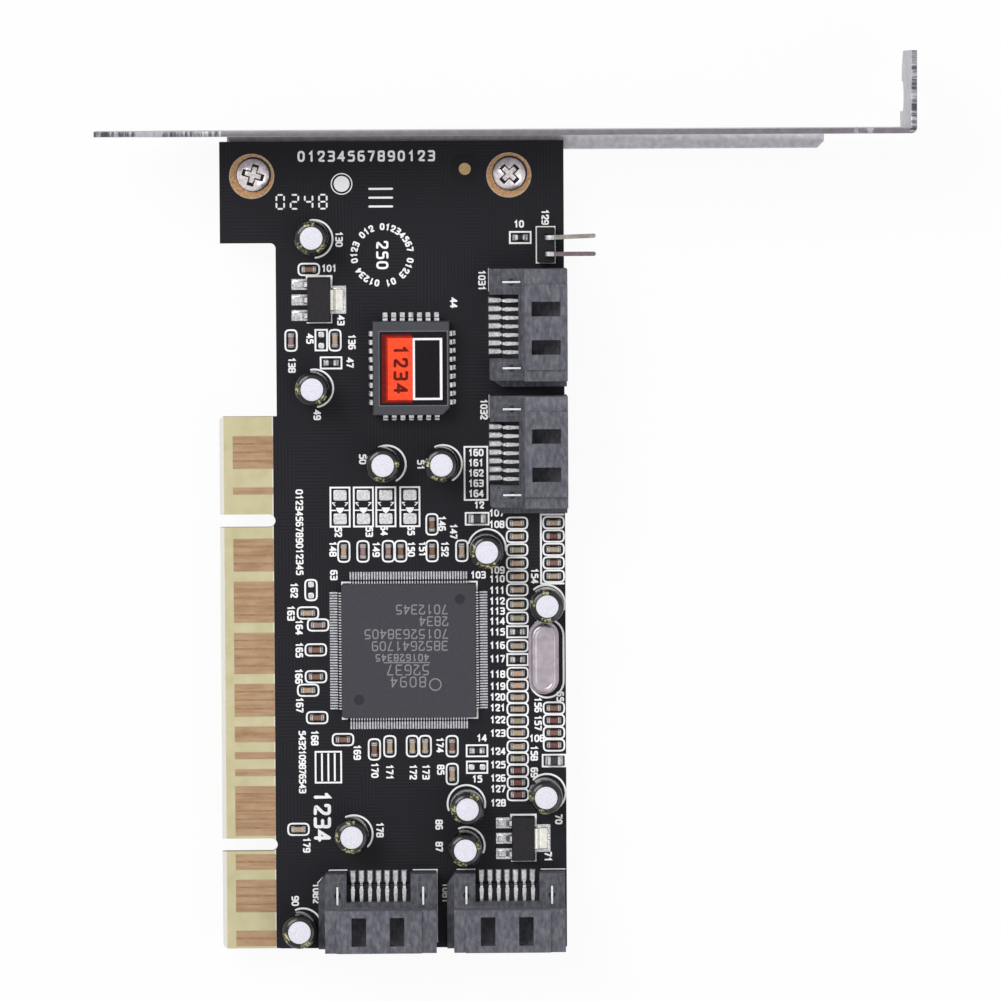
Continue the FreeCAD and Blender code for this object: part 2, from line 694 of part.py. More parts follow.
def pin_header():
    """A two-way block whose square pins rise from its top and bend out over the board's edge."""
    body = new_body("header_block")
    base = sketch_on(body, "block_outline", "XY_Plane", TOP)
    add_rectangle(base, "header_left", "header_y - header_long / 2",
                  "header_left + header_wide", "header_y + header_long / 2")
    pad(body, base, "header_high")
    ways = sketch_on(body, "pin_holes", "XY_Plane", TOP)
    for side in ("-", "+"):
        middle = f"header_y {side} pin_pitch / 2"
        add_rectangle(ways, "header_left + pin_in", f"{middle} - pin_square / 2",
                      "header_left + pin_in + pin_square", f"{middle} + pin_square / 2")
    pocket(body, ways, "header_high")
    keep(body, "header_block")

    left = size("header_left") + size("pin_in")
    square = size("pin_square")
    top = size("board_thick") / 2
    level = top + size("pin_high")
    end, bevel, bend = size("pin_end"), size("pin_bevel"), size("pin_bend")
    outline = [(left, top), (left + square, top), (left + square, level - square),
               (end - bend, level - square), (end, level - square + bevel),
               (end, level - bevel), (end - bend, level), (left + bend, level),
               (left, level - bend)]
    pins = [prism(outline, square, 0, (0, size("header_y") + along, 0))
            for along in spread(2, size("pin_pitch"))]
    group("header_pins", pins)


SATA_MOUTH_DEEP = "(sata_deep - sata_well_deep - sata_web)"


def sata_shell(number, x, y, turn):
    """Moulded shell: low rear with an open well, raised mouth with a key tongue inside."""
    body = new_body(f"sata_{number}_shell")

    def on(name, level):
        return sketch_on(body, f"{name}_{number}", "XY_Plane", level)

    def across(name, level):
        return sketch_on(body, f"{name}_{number}", "YZ_Plane", level)

    rear = on("rear", "0")
    left, right = "-1 * sata_left - sata_foot", "sata_right"
    add_loop(rear, [("sata_corner_deep", left), ("sata_rear_deep", left),
                    ("sata_rear_deep", right), ("0", right),
                    ("0", f"{left} + sata_corner_side")])
    pad(body, rear, "sata_rear_high")
    shroud = across("shroud", "sata_rear_deep")
    add_loop(shroud, [
        (left, "0"), (right, "0"), (right, "sata_high"), ("sata_crown_right", "sata_high"),
        ("sata_crown_right", "sata_high + sata_crown"),
        ("-1 * sata_crown_left", "sata_high + sata_crown"),
        ("-1 * sata_crown_left", "sata_high"), ("-1 * sata_left", "sata_high"),
        ("-1 * sata_left", "sata_foot_high"), (left, "sata_foot_high")])
    pad(body, shroud, "sata_deep - sata_rear_deep")
    step = on("foot_step", "sata_foot_high")
    add_rectangle(step, OUTSIDE, f"{left} + {OUTSIDE}", "sata_rear_deep", "-1 * sata_left")
    pocket(body, step, "sata_rear_high")

    well = on("well", "sata_floor")
    add_rectangle(well, OUTSIDE, "-1 * sata_well_half", "sata_well_deep", "sata_well_half")
    pocket(body, well, "sata_rear_high")
    tail_way = on("tail_way", "0")
    add_rectangle(tail_way, OUTSIDE, "-1 * sata_well_half",
                  "sata_contact_foot + sata_contact_thick", "sata_well_half")
    pocket(body, tail_way, "sata_floor")
    mouth = across("mouth", "sata_well_deep + sata_web")
    add_rectangle(mouth, "sata_wall - sata_left", "sata_wall", "sata_right - sata_wall",
                  "sata_wall + sata_mouth_high")
    pocket(body, mouth, SATA_MOUTH_DEEP)
    tongue = across("tongue", "sata_well_deep + sata_web")
    upper = "(sata_tongue_under + sata_tongue_thick)"
    add_loop(tongue, [
        ("-1 * sata_tongue_half", "sata_tongue_under - sata_key_down"),
        ("sata_key_wide - sata_tongue_half", "sata_tongue_under - sata_key_down"),
        ("sata_key_wide - sata_tongue_half", "sata_tongue_under"),
        ("sata_tongue_half", "sata_tongue_under"), ("sata_tongue_half", upper),
        ("-1 * sata_tongue_half", upper)])
    pad(body, tongue, f"{SATA_MOUTH_DEEP} - sata_tongue_short")
    contact_way = across("contact_way", "sata_well_deep")
    way = "((sata_ways - 1) * sata_pitch / 2 + sata_contact_wide / 2)"
    add_rectangle(contact_way, f"-1 * {way}", "sata_tongue_under - sata_contact_thick",
                  way, "sata_tongue_under")
    pocket(body, contact_way, "sata_web")
    windows = on("windows", "sata_wall + sata_mouth_high")
    for middle in ("-1 * sata_window_left", "sata_window_right"):
        add_rectangle(windows, "sata_deep - sata_window_front - sata_window_long",
                      f"{middle} - sata_window_wide / 2",
                      "sata_deep - sata_window_front", f"{middle} + sata_window_wide / 2")
    pocket(body, windows, "sata_high")
    slots = on("clip_slots", "0")
    for middle in ("-1 * sata_clip_left", "sata_clip_right"):
        half = "(sata_clip_thick / 2 + sata_clip_slot)"
        add_rectangle(slots, "sata_clip_rear - sata_clip_slot", f"{middle} - {half}",
                      "sata_clip_rear + sata_clip_long + sata_clip_slot", f"{middle} + {half}")
    pocket(body, slots, "sata_rear_high")
    place(body, x, y, TOP, turn)
    return keep(body, f"sata_{number}_shell")


def sata_header(number, x, y, turn):
    """One header: its shell, seven contacts bent in under the tongue and two hold-down clips."""
    sata_shell(number, x, y, turn)
    x, y = value_of(x), value_of(y)
    thick = size("sata_contact_thick")
    foot = size("sata_contact_foot")
    run = size("sata_tongue_under") - thick
    tip = size("sata_deep") - 2 * size("sata_tongue_short")
    top = size("board_thick") / 2
    outline = [(0, 0), (foot + thick, 0), (foot + thick, run), (tip, run), (tip, run + thick),
               (foot, run + thick), (foot, thick)]
    around = FreeCAD.Rotation(turn, 0, 0)
    contacts = []
    for along in spread(int(size("sata_ways")), size("sata_pitch")):
        at = FreeCAD.Vector(x, y, top) + around.multVec(FreeCAD.Vector(0, along, 0))
        contacts.append(prism(outline, size("sata_contact_wide"), turn, at))
    group(f"sata_{number}_contacts", contacts)
    clips = []
    middle = size("sata_clip_rear") + size("sata_clip_long") / 2
    for across in (-size("sata_clip_left"), size("sata_clip_right")):
        clip = block(middle, across, 0, size("sata_clip_long"), size("sata_clip_thick"),
                     size("sata_rear_high"))
        clip.Placement = FreeCAD.Placement(FreeCAD.Vector(x, y, top), around)
        clips.append(clip)
    group(f"sata_{number}_clips", clips)


def capacitor(number, x, y):
    """A sleeved can, standing on the board."""
    can = doc.addObject("Part::Cylinder", f"capacitor_{number:02d}")
    bind(can, "Radius", "can_radius")
    bind(can, "Height", "can_high")
    place(can, x, y, TOP)
    return keep(can, f"capacitor_{number:02d}")


def lead_ends():
    """Ends of the leads that come through the board, on its solder side."""
    half = size("lead_half_pitch")
    back = -size("board_thick") / 2
    long = size("lead_end_long")
    places = []
    for x, y, turn in CAPACITORS:
        across = FreeCAD.Rotation(turn, 0, 0).multVec(FreeCAD.Vector(half, 0, 0))
        places += [(x + side * across.x, y + side * across.y) for side in (-1, 1)]
    places += [(size("crystal_x"), size("crystal_y") + side * size("crystal_half_pitch"))
               for side in (-1, 1)]
    pin = size("header_left") + size("pin_in") + size("pin_square") / 2
    places += [(pin, size("header_y") + side * size("pin_pitch") / 2) for side in (-1, 1)]
    radius = size("lead_end") / 2
    corners = [FreeCAD.Rotation(360 / LEAD_SIDES * step, 0, 0).multVec(FreeCAD.Vector(radius, 0, 0))
               for step in range(LEAD_SIDES + 1)]
    ends = []
    for x, y in places:
        end = Part.Face(Part.makePolygon(corners)).extrude(FreeCAD.Vector(0, 0, -long))
        end.translate(FreeCAD.Vector(x, y, back))
        ends.append(end)
    group("lead_ends", ends)


def chip_parts():
    """Ceramic capacitors, resistors and ferrite beads, each one block on the board."""
    top = size("board_thick") / 2
    long, wide = size("chip_long"), size("chip_wide")
    capacitors = []
    for runs, along_x, along_y in ((ALONG_X, long, wide), (ALONG_Y, wide, long)):
        for x, y, step_x, step_y, count in runs:
            capacitors += [block(x + index * step_x, y + index * step_y, top, along_x, along_y,
                                 size("chip_high")) for index in range(count)]
    group("chip_capacitors", capacitors)
    group("chip_resistors", [block(x, y, top, long, wide, size("resistor_high"))
                             for x, y in RESISTORS])
    group("ferrite_beads", [block(x, y, top, size("bead_long"), size("bead_wide"),
                                  size("bead_high")) for x, y in BEADS])


circuit_board()
edge_contacts()
bracket()
bracket_screws()
controller()
flash_chip()
regulators()
crystal()
pin_header()
for number, (x, y, turn) in enumerate(SATA_HEADERS, start=1):
    sata_header(number, x, y, turn)
for number, (x, y, turn) in enumerate(CAPACITORS, start=1):
    capacitor(number, x, y)
lead_ends()
chip_parts()
doc.recompute()

failed = [thing.Name for thing in doc.Objects if {"Invalid", "Error"} & set(thing.State)]
failed += [thing.Label for thing in sub_parts if thing.Shape.isNull() or not thing.Shape.isValid()
           or not thing.Shape.Solids]
if failed:
    raise RuntimeError("not built: " + ", ".join(failed))

os.makedirs("parts", exist_ok=True)
for thing in sub_parts:
    thing.Shape.exportStep(f"parts/{thing.Label}.step")
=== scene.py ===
import bmesh
import bpy
import numpy as np
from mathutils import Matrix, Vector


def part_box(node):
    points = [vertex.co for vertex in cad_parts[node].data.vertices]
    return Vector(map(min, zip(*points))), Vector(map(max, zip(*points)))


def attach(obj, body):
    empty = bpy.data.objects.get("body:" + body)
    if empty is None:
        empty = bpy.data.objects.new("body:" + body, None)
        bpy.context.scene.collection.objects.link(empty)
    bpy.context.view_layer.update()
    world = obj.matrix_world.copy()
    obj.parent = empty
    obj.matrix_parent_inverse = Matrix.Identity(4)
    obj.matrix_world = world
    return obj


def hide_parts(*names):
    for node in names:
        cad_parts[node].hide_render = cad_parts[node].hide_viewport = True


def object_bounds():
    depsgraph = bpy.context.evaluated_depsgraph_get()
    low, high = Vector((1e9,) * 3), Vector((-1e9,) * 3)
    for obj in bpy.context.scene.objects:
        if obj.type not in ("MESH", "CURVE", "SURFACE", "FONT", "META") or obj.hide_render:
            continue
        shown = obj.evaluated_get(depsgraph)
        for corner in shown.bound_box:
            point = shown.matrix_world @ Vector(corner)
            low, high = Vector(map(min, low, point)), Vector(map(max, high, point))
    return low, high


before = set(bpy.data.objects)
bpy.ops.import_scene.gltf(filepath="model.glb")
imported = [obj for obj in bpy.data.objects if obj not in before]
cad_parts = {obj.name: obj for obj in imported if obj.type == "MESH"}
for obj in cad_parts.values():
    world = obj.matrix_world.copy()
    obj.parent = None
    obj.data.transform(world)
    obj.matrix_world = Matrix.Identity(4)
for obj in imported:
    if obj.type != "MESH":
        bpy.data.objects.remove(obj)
CAD_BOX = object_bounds()

# Storage controller card: finishes, print, solder and rounded pieces around the solid model.
# Places and sizes here are millimetres on the card; meshes are written in metres.
MM = 0.001


def span(node):
    """Lowest and highest corner of a CAD node, in millimetres."""
    low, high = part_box(node)
    return np.array(low) / MM, np.array(high) / MM


def level_of(node, end):
    """Height of a CAD node's underside (end 0) or top (end 1)."""
    return span(node)[end][2]


TOP = level_of("circuit_board", 1)
BACK = level_of("circuit_board", 0)
MASK_EDGE = 7.93            # the black lacquer stops here on the connector tongue
PRINT_THICK = 0.02
PRINT_WIDE = 0.24
HEADER_REAR_HIGH = 4.6      # the disk headers' rear part above the board
SHARP_FROM = 38             # faces that meet at more degrees than this keep a sharp edge
EAR_FROM = 50.0             # above this place along the board, the lacquer runs down to the edge
TAB_FROM = 101.2            # the bracket's screw tab starts here
PLAIN_EDGE = (1, 101)       # the bracket's cut edge is plain between these
# The photograph's camera: its width and focal length in pixels, and the sensor it is given
PHOTO_WIDE, FOCAL, SENSOR = 1001, 6785.777, 36


# Forms: corner places in millimetres, faces grouped by their number of corners

class Form:
    """A mesh being worked out: points, face groups and the finish number of each face."""

    def __init__(self, points, faces, coats=None):
        self.points = np.asarray(points, float).reshape(-1, 3)
        self.faces = [np.asarray(group, int) for group in faces]
        if coats is None:
            coats = [np.zeros(len(group), int) for group in self.faces]
        self.coats = [np.asarray(group, int) for group in coats]

    def moved(self, x=0.0, y=0.0, z=0.0):
        """The same form shifted."""
        return Form(self.points + (x, y, z), self.faces, self.coats)

    def coated(self, coat):
        """The same form with one finish number all over."""
        return Form(self.points, self.faces, [np.full(len(group), coat) for group in self.faces])


def join(forms):
    """Several forms as one: the corner numbers of each are raised past those before it."""
    faces, coats, start = [], [], 0
    for form in forms:
        faces += [group + start for group in form.faces]
        coats += form.coats
        start += len(form.points)
    return Form(np.concatenate([form.points for form in forms]), faces, coats)


def copies(form, places, turns=0.0):
    """The form set down at each place, turned about Z by each angle in degrees."""
    places = np.asarray(places, float).reshape(-1, 3)
    count = len(places)
    angles = np.radians(np.broadcast_to(turns, count))
    cos, sin = np.cos(angles), np.sin(angles)
    x, y, z = form.points.T
    axes = [np.outer(cos, x) - np.outer(sin, y), np.outer(sin, x) + np.outer(cos, y),
            np.tile(z, (count, 1))]
    points = np.stack(axes, axis=-1) + places[:, None]
    starts = len(form.points) * np.arange(count)[:, None, None]
    faces = [(group[None] + starts).reshape(-1, group.shape[1]) for group in form.faces]
    return Form(points, faces, [np.tile(group, count) for group in form.coats])


def skin(rings, coats=0, looped=False):
    """Join each ring of points to the next with quads; the end rings are filled, or meet if looped."""
    rings = np.asarray(rings, float)
    rows, count = rings.shape[:2]
    bands = rows if looped else rows - 1
    row, column = np.meshgrid(np.arange(bands), np.arange(count), indexing="ij")
    next_row, next_column = (row + 1) % rows, (column + 1) % count
    quads = np.stack([row * count + column, row * count + next_column,
                      next_row * count + next_column, next_row * count + column], axis=-1)
    band_coats = np.repeat(np.broadcast_to(coats, bands), count)
    if looped:
        return Form(rings, [quads.reshape(-1, 4)], [band_coats])
    ends = np.stack([np.arange(count), (rows - 1) * count + np.arange(count)])
    return Form(rings, [quads.reshape(-1, 4), ends], [band_coats, band_coats[[0, -1]]])


def unit(vectors):
    """Each row scaled to length one."""
    return vectors / np.maximum(np.linalg.norm(vectors, axis=-1, keepdims=True), 1e-9)


def rounded(path, radius, closed=False, steps=4):
    """Round a path's corners: each becomes a parabola between points one radius back and on."""
    path = np.asarray(path, float)
    before, after = np.roll(path, 1, axis=0) - path, np.roll(path, -1, axis=0) - path
    reach = np.minimum(radius, 0.49 * np.minimum(np.linalg.norm(before, axis=1),
                                                 np.linalg.norm(after, axis=1)))[:, None]
    share = np.linspace(0, 1, steps + 1)[None, :, None]
    first, last = (path + unit(before) * reach)[:, None], (path + unit(after) * reach)[:, None]
    corner = path[:, None]
    curve = first * (1 - share) ** 2 + 2 * corner * share * (1 - share) + last * share ** 2
    if closed:
        return curve.reshape(-1, path.shape[1])
    middle = curve[1:-1].reshape(-1, path.shape[1])
    return np.concatenate([path[:1], middle, path[-1:]])


def rectangle(wide, long, x=0.0, y=0.0, radius=0.0):
    """A rectangle's outline about a place, its corners rounded where a radius is given."""
    path = np.array([(-1, -1), (1, -1), (1, 1), (-1, 1)]) * (wide / 2, long / 2) + (x, y)
    return rounded(path, radius, True, 3) if radius else path


def path_sides(path, closed):
    """Direction across a flat path at each point, stretched at corners so that the width holds."""
    before, after = np.roll(path, 1, axis=0), np.roll(path, -1, axis=0)
    if not closed:
        before[0] = 2 * path[0] - path[1]
        after[-1] = 2 * path[-1] - path[-2]
    into, out = unit(path - before), unit(after - path)
    mean = unit(into + out)
    cosine = np.maximum((mean * into).sum(axis=1, keepdims=True), 0.5)
    return np.stack([-mean[:, 1], mean[:, 0]], axis=1) / cosine


def ribbon(path, width=PRINT_WIDE, closed=False, level=None, thick=PRINT_THICK):
    """A printed line: a flat rectangle carried along the path, its open ends drawn in to a tip."""
    path = np.asarray(path, float)
    level = TOP if level is None else level
    half = np.full(len(path), width / 2)
    if not closed:
        lead_in, lead_out = unit(path[:1] - path[1:2]), unit(path[-1:] - path[-2:-1])
        path = np.concatenate([path[:1] + lead_in * width * 0.42, path,
                               path[-1:] + lead_out * width * 0.42])
        half = np.concatenate([[width * 0.22], half, [width * 0.22]])
    across = path_sides(path, closed) * half[:, None]
    left, right = path + across, path - across
    low = np.full((len(path), 1), level)
    rings = np.stack([np.hstack([left, low]), np.hstack([right, low]),
                      np.hstack([right, low + thick]), np.hstack([left, low + thick])], axis=1)
    return skin(rings, looped=closed)


def strip(path, thick, wide, coats=0):
    """A bent metal strip: a rectangle carried along a path in X and Z, as wide as given along Y."""
    path = np.asarray(path, float)
    across = path_sides(path, False) * thick / 2
    outer, inner = path + across, path - across
    wide = np.broadcast_to(wide, len(path))[:, None] / 2
    corners = [np.hstack([side[:, :1], sign * wide, side[:, 1:]])
               for side, sign in ((outer, -1), (outer, 1), (inner, 1), (inner, -1))]
    return skin(np.stack(corners, axis=1), coats)


def turned(profile, count=48, coats=0):
    """A turned form: each (radius, height) pair of the profile becomes a ring about Z."""
    radius, height = np.asarray(profile, float).T
    angle = np.arange(count) * 2 * np.pi / count
    x, y = np.outer(radius, np.cos(angle)), np.outer(radius, np.sin(angle))
    return skin(np.stack([x, y, np.repeat(height[:, None], count, axis=1)], axis=-1), coats)


def layers(outline, steps, coats=0):
    """A stack of one outline about its middle: each step is (grown by, height)."""
    outline = np.asarray(outline, float)
    outward = -path_sides(outline, True)
    rings = [np.hstack([outline + outward * grow, np.full((len(outline), 1), height)])
             for grow, height in steps]
    return skin(rings, coats)


def slab(wide, long, low, high, edge=0.0, corner=0.0):
    """A flat block about its middle with rounded corners and a bevelled upper edge."""
    steps = [(0, low), (0, high - edge), (-edge, high)] if edge else [(0, low), (0, high)]
    return layers(rectangle(wide, long, radius=corner), steps)


def arc(x, y, radius, start, end, steps=24):
    """Points along a circle between two angles in degrees."""
    angle = np.radians(np.linspace(start, end, steps + 1))
    return np.stack([x + radius * np.cos(angle), y + radius * np.sin(angle)], axis=1)


# Pieces: objects at the origin with their place in the mesh

def piece(name, forms, finishes, replaces=()):
    """Write a form, or a list of them, into a mesh object with its finishes, riding on the card."""
    form = join(forms) if isinstance(forms, list) else forms
    mesh = bpy.data.meshes.new(name)
    sizes = np.concatenate([np.full(len(group), group.shape[1]) for group in form.faces])
    corners = np.concatenate([group.ravel() for group in form.faces])
    mesh.vertices.add(len(form.points))
    mesh.loops.add(len(corners))
    mesh.polygons.add(len(sizes))
    mesh.vertices.foreach_set("co", (form.points * MM).ravel())
    mesh.loops.foreach_set("vertex_index", corners)
    mesh.polygons.foreach_set("loop_start", np.concatenate([[0], np.cumsum(sizes)[:-1]]))
    mesh.polygons.foreach_set("material_index", np.concatenate(form.coats))
    mesh.update(calc_edges=True)
    mesh.validate()
    return finish_piece(name, mesh, finishes, replaces)


def finish_piece(name, mesh, finishes, replaces):
    """Turn a mesh's faces outwards, shade it, set it under the card's root and hide the CAD nodes it
    replaces.
    """
    work = bmesh.new()
    work.from_mesh(mesh)
    bmesh.ops.recalc_face_normals(work, faces=work.faces)
    work.to_mesh(mesh)
    work.free()
    for finish in finishes.split():
        mesh.materials.append(FINISHES[finish])
    mesh.shade_smooth()
    mesh.set_sharp_from_angle(angle=np.radians(SHARP_FROM))
    thing = bpy.data.objects.new(name, mesh)
    bpy.context.scene.collection.objects.link(thing)
    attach(thing, "root")
    if replaces:
        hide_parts(*replaces)
    return thing


def softened(node, name, width, finish):
    """A CAD node's shape with its triangles merged and a small round along every edge."""
    work = bmesh.new()
    work.from_mesh(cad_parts[node].data)
    bmesh.ops.remove_doubles(work, verts=work.verts, dist=0.002 * MM)
    bmesh.ops.dissolve_limit(work, angle_limit=np.radians(1.5), verts=work.verts, edges=work.edges)
    mesh = bpy.data.meshes.new(name)
    work.to_mesh(mesh)
    work.free()
    bevel = finish_piece(name, mesh, finish, [node]).modifiers.new("edge_round", "BEVEL")
    bevel.width = width * MM
    bevel.segments = 2
    bevel.limit_method = "ANGLE"
    bevel.angle_limit = np.radians(35)
    bevel.harden_normals = False


def solids_of(node):
    """Lowest and highest corner of each separate solid in a CAD node, in millimetres.

    Equal corners are numbered alike, then each triangle passes its lowest number round its
    corners until nothing changes, so that every solid is left with one number.
    """
    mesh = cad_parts[node].data
    mesh.calc_loop_triangles()
    points = np.empty(len(mesh.vertices) * 3)
    mesh.vertices.foreach_get("co", points)
    triangles = np.empty(len(mesh.loop_triangles) * 3, int)
    mesh.loop_triangles.foreach_get("vertices", triangles)
    places, alike = np.unique((points.reshape(-1, 3) / MM).round(3), axis=0, return_inverse=True)
    triangles = alike.ravel()[triangles].reshape(-1, 3)
    labels = np.arange(len(places))
    while True:
        passed = labels.copy()
        np.minimum.at(passed, triangles.ravel(), np.repeat(labels[triangles].min(axis=1), 3))
        if (passed == labels).all():
            break
        labels = passed
    found = np.unique(labels)
    return [(places[labels == one].min(axis=0), places[labels == one].max(axis=0)) for one in found]


# Finishes

def shade(red, green, blue):
    """A colour given as it looks on screen, 0 to 255, in the linear values that shaders take."""
    value = np.array([red, green, blue]) / 255
    linear = np.where(value <= 0.04045, value / 12.92, ((value + 0.055) / 1.055) ** 2.4)
    return (*linear.tolist(), 1.0)


def feed(tree, source, target):
    """Link an output to an input, or set a value; a colour of three numbers is as it looks on screen."""
    if isinstance(source, bpy.types.NodeSocket):
        tree.links.new(source, target)
    else:
        target.default_value = shade(*source) if target.type == "RGBA" and len(source) == 3 else source


def wired(tree, kind, inputs=None, **settings):
    """A new node in a tree: its settings, and what each input is fed with."""
    node = tree.nodes.new(kind)
    for name, value in settings.items():
        setattr(node, name, value)
    for target, source in (inputs or {}).items():
        feed(tree, source, node.inputs[target])
    return node


class Finish:
    """A material being wired: its shader, and helpers for patterns on Object coordinates."""

    def __init__(self, name, colour, roughness, metallic=0.0, mirror=0.5):
        self.material = bpy.data.materials.new(name)
        self.material.use_nodes = True
        self.tree = self.material.node_tree
        self.shader = self.tree.nodes["Principled BSDF"]
        for socket, value in (("Base Color", colour), ("Roughness", roughness), ("Metallic", metallic),
                              ("Specular IOR Level", mirror)):
            self.give(socket, value)
        self.where = self.add("ShaderNodeTexCoord").outputs["Object"]

    def give(self, socket, source):
        """Link or set one of the shader's inputs."""
        feed(self.tree, source, self.shader.inputs[socket])

    def add(self, kind, inputs=None, **settings):
        """A new node with its inputs and settings."""
        return wired(self.tree, kind, inputs, **settings)

    def maths(self, operation, first, second=0.0):
        """One arithmetic step."""
        return self.add("ShaderNodeMath", {0: first, 1: second}, operation=operation).outputs[0]

    def axes(self):
        """X, Y and Z on the card, in millimetres."""
        scaled = self.add("ShaderNodeVectorMath", {0: self.where, "Scale": 1 / MM}, operation="SCALE")
        return self.add("ShaderNodeSeparateXYZ", {0: scaled.outputs[0]}).outputs

    def facing_up(self):
        """How far the surface faces up: 1 on top, 0 on a wall, -1 below."""
        normal = self.add("ShaderNodeNewGeometry").outputs["Normal"]
        return self.add("ShaderNodeSeparateXYZ", {0: normal}).outputs[2]

    def noise(self, grain, detail=3.0, stretch=(1, 1, 1)):
        """Cloudy noise whose blobs are about as many millimetres across as the grain."""
        place = self.add("ShaderNodeMapping", {"Vector": self.where, "Scale": stretch}).outputs[0]
        inputs = {"Vector": place, "Scale": 1 / (grain * MM), "Detail": detail}
        return self.add("ShaderNodeTexNoise", inputs).outputs[0]

    def ramp(self, factor, *stops):
        """Colours or greys along a factor: each stop is (place, colour)."""
        node = self.add("ShaderNodeValToRGB", {0: factor})
        elements = node.color_ramp.elements
        while len(elements) < len(stops):
            elements.new(0.5)
        for element, (place, colour) in zip(elements, stops):
            element.position = place
            element.color = shade(*colour) if isinstance(colour, tuple) else (colour, colour, colour, 1)
        return node.outputs[0]

    def mix(self, factor, first, second):
        """Two colours mixed by a factor."""
        return self.add("ShaderNodeMix", {0: factor, 6: first, 7: second}, data_type="RGBA").outputs[2]

    def relief(self, height, depth, strength=1.0):
        """Raise the surface by a height pattern, depth in millimetres."""
        inputs = {"Height": height, "Distance": depth * MM, "Strength": strength}
        self.give("Normal", self.add("ShaderNodeBump", inputs).outputs[0])


def speckled(name, dark, light, grain, roughness, relief, metallic=0.0, mirror=0.5, stretch=(1, 1, 1)):
    """A finish that wanders between two colours, with a matching fine relief."""
    made = Finish(name, dark, roughness, metallic, mirror)
    pattern = made.noise(grain, 4.0, stretch)
    made.give("Base Color", made.ramp(pattern, (0.3, dark), (0.7, light)))
    made.give("Roughness", made.ramp(made.noise(grain * 2.2, 2.0, stretch), (0.25, roughness * 0.8),
                                     (0.75, min(1.0, roughness * 1.2))))
    made.relief(pattern, relief)
    return made.material


def board_lacquer():
    """Black lacquer over faint copper tracks, straw laminate on the tongue and the cut edges."""
    made = Finish("board_lacquer", (32, 31, 37), 0.5, mirror=0.14)
    x, y, z = made.axes()
    inputs = {"Vector": made.where, "Scale": 620}
    runs = [made.add("ShaderNodeTexWave", inputs, bands_direction=axis).outputs["Color"]
            for axis in ("X", "Y")]
    tracks = made.mix(made.ramp(made.noise(11, 1.0), (0.49, 0.0), (0.51, 1.0)), *runs)
    shown = made.ramp(made.noise(8, 2.0), (0.42, 0.0), (0.6, 1.0))
    tracks = made.mix(shown, (0.45, 0.45, 0.45, 1), tracks)
    lacquer = made.ramp(tracks, (0.3, (24, 24, 29)), (0.8, (32, 32, 38)))
    dust = made.ramp(made.noise(0.35, 2.0), (0.68, 0.0), (0.82, 0.3))
    lacquer = made.mix(dust, lacquer, (62, 62, 68))
    straw = made.ramp(made.noise(2.4, 4.0), (0.3, (193, 185, 142)), (0.7, (206, 198, 162)))
    straw = made.mix(made.maths("LESS_THAN", x, 0.62), straw, (222, 218, 212))
    straw = made.mix(made.maths("GREATER_THAN", x, MASK_EDGE - 0.16), straw, (226, 222, 210))
    on_tongue = made.maths("LESS_THAN", x, MASK_EDGE)
    below_ear = made.maths("SUBTRACT", 1.0, made.maths("GREATER_THAN", y, EAR_FROM))
    face = made.mix(made.maths("MULTIPLY", on_tongue, below_ear), lacquer, straw)
    edge_on = made.maths("LESS_THAN", made.maths("ABSOLUTE", made.facing_up()), 0.5)
    plies = made.ramp(made.noise(0.35, 2.0, (0.2, 0.2, 3.0)), (0.35, (112, 100, 70)), (0.7, (158, 144, 106)))
    made.give("Base Color", made.mix(edge_on, face, plies))
    made.relief(tracks, 0.012, 0.5)
    return made.material


def plated_finger():
    """Hard gold worn to brown: long streaks mixed with paler clouds."""
    made = Finish("contact_gold", (172, 140, 106), 0.4, 0.3)
    streaks = made.noise(0.5, 4.0, (0.12, 1, 1))
    worn = made.ramp(streaks, (0.3, (143, 108, 76)), (0.5, (167, 134, 104)), (0.72, (182, 153, 121)))
    pale = made.ramp(made.noise(2.2, 3.0), (0.4, (167, 134, 102)), (0.7, (186, 157, 123)))
    made.give("Base Color", made.mix(0.4, worn, pale))
    made.relief(streaks, 0.01)
    return made.material


def bracket_zinc():
    """Zinc-plated sheet with a soft spangle; the cut edges are plain grey, ticked at both ends."""
    made = Finish("bracket_zinc", (176, 174, 179), 0.42, 0.75)
    spangle = made.noise(0.9, 4.0)
    sheet = made.ramp(spangle, (0.3, (164, 162, 168)), (0.7, (192, 190, 195)))
    x, y, z = made.axes()
    ticks = made.mix(made.maths("GREATER_THAN", x, TAB_FROM), made.noise(0.4, 3.0, (1, 0.1, 1)),
                     made.noise(0.4, 3.0, (0.1, 1, 1)))
    ticked = made.ramp(ticks, (0.38, (70, 68, 73)), (0.5, (116, 114, 119)), (0.64, (172, 171, 175)))
    plain = made.ramp(spangle, (0.3, (110, 106, 112)), (0.7, (122, 118, 124)))
    start, end = PLAIN_EDGE
    middle = made.maths("MULTIPLY", made.maths("GREATER_THAN", x, start), made.maths("LESS_THAN", x, end))
    upward = made.maths("GREATER_THAN", made.facing_up(), 0.8)
    cut = made.maths("MULTIPLY", upward, made.maths("GREATER_THAN", z, TOP + 2))
    made.give("Base Color", made.mix(cut, sheet, made.mix(middle, ticked, plain)))
    made.give("Roughness", made.ramp(made.noise(2.0, 2.0), (0.25, 0.34), (0.75, 0.5)))
    made.relief(spangle, 0.012)
    return made.material


def worn_print():
    """Gold print on the sleeve's shoulder, broken into flecks by fine noise."""
    made = Finish("sleeve_gold_print", (150, 144, 100), 0.3, mirror=0.35)
    made.give("Base Color", made.ramp(made.noise(0.42, 4.0), (0.42, (20, 19, 15)), (0.52, (104, 100, 66)),
                                      (0.64, (200, 195, 150))))
    return made.material


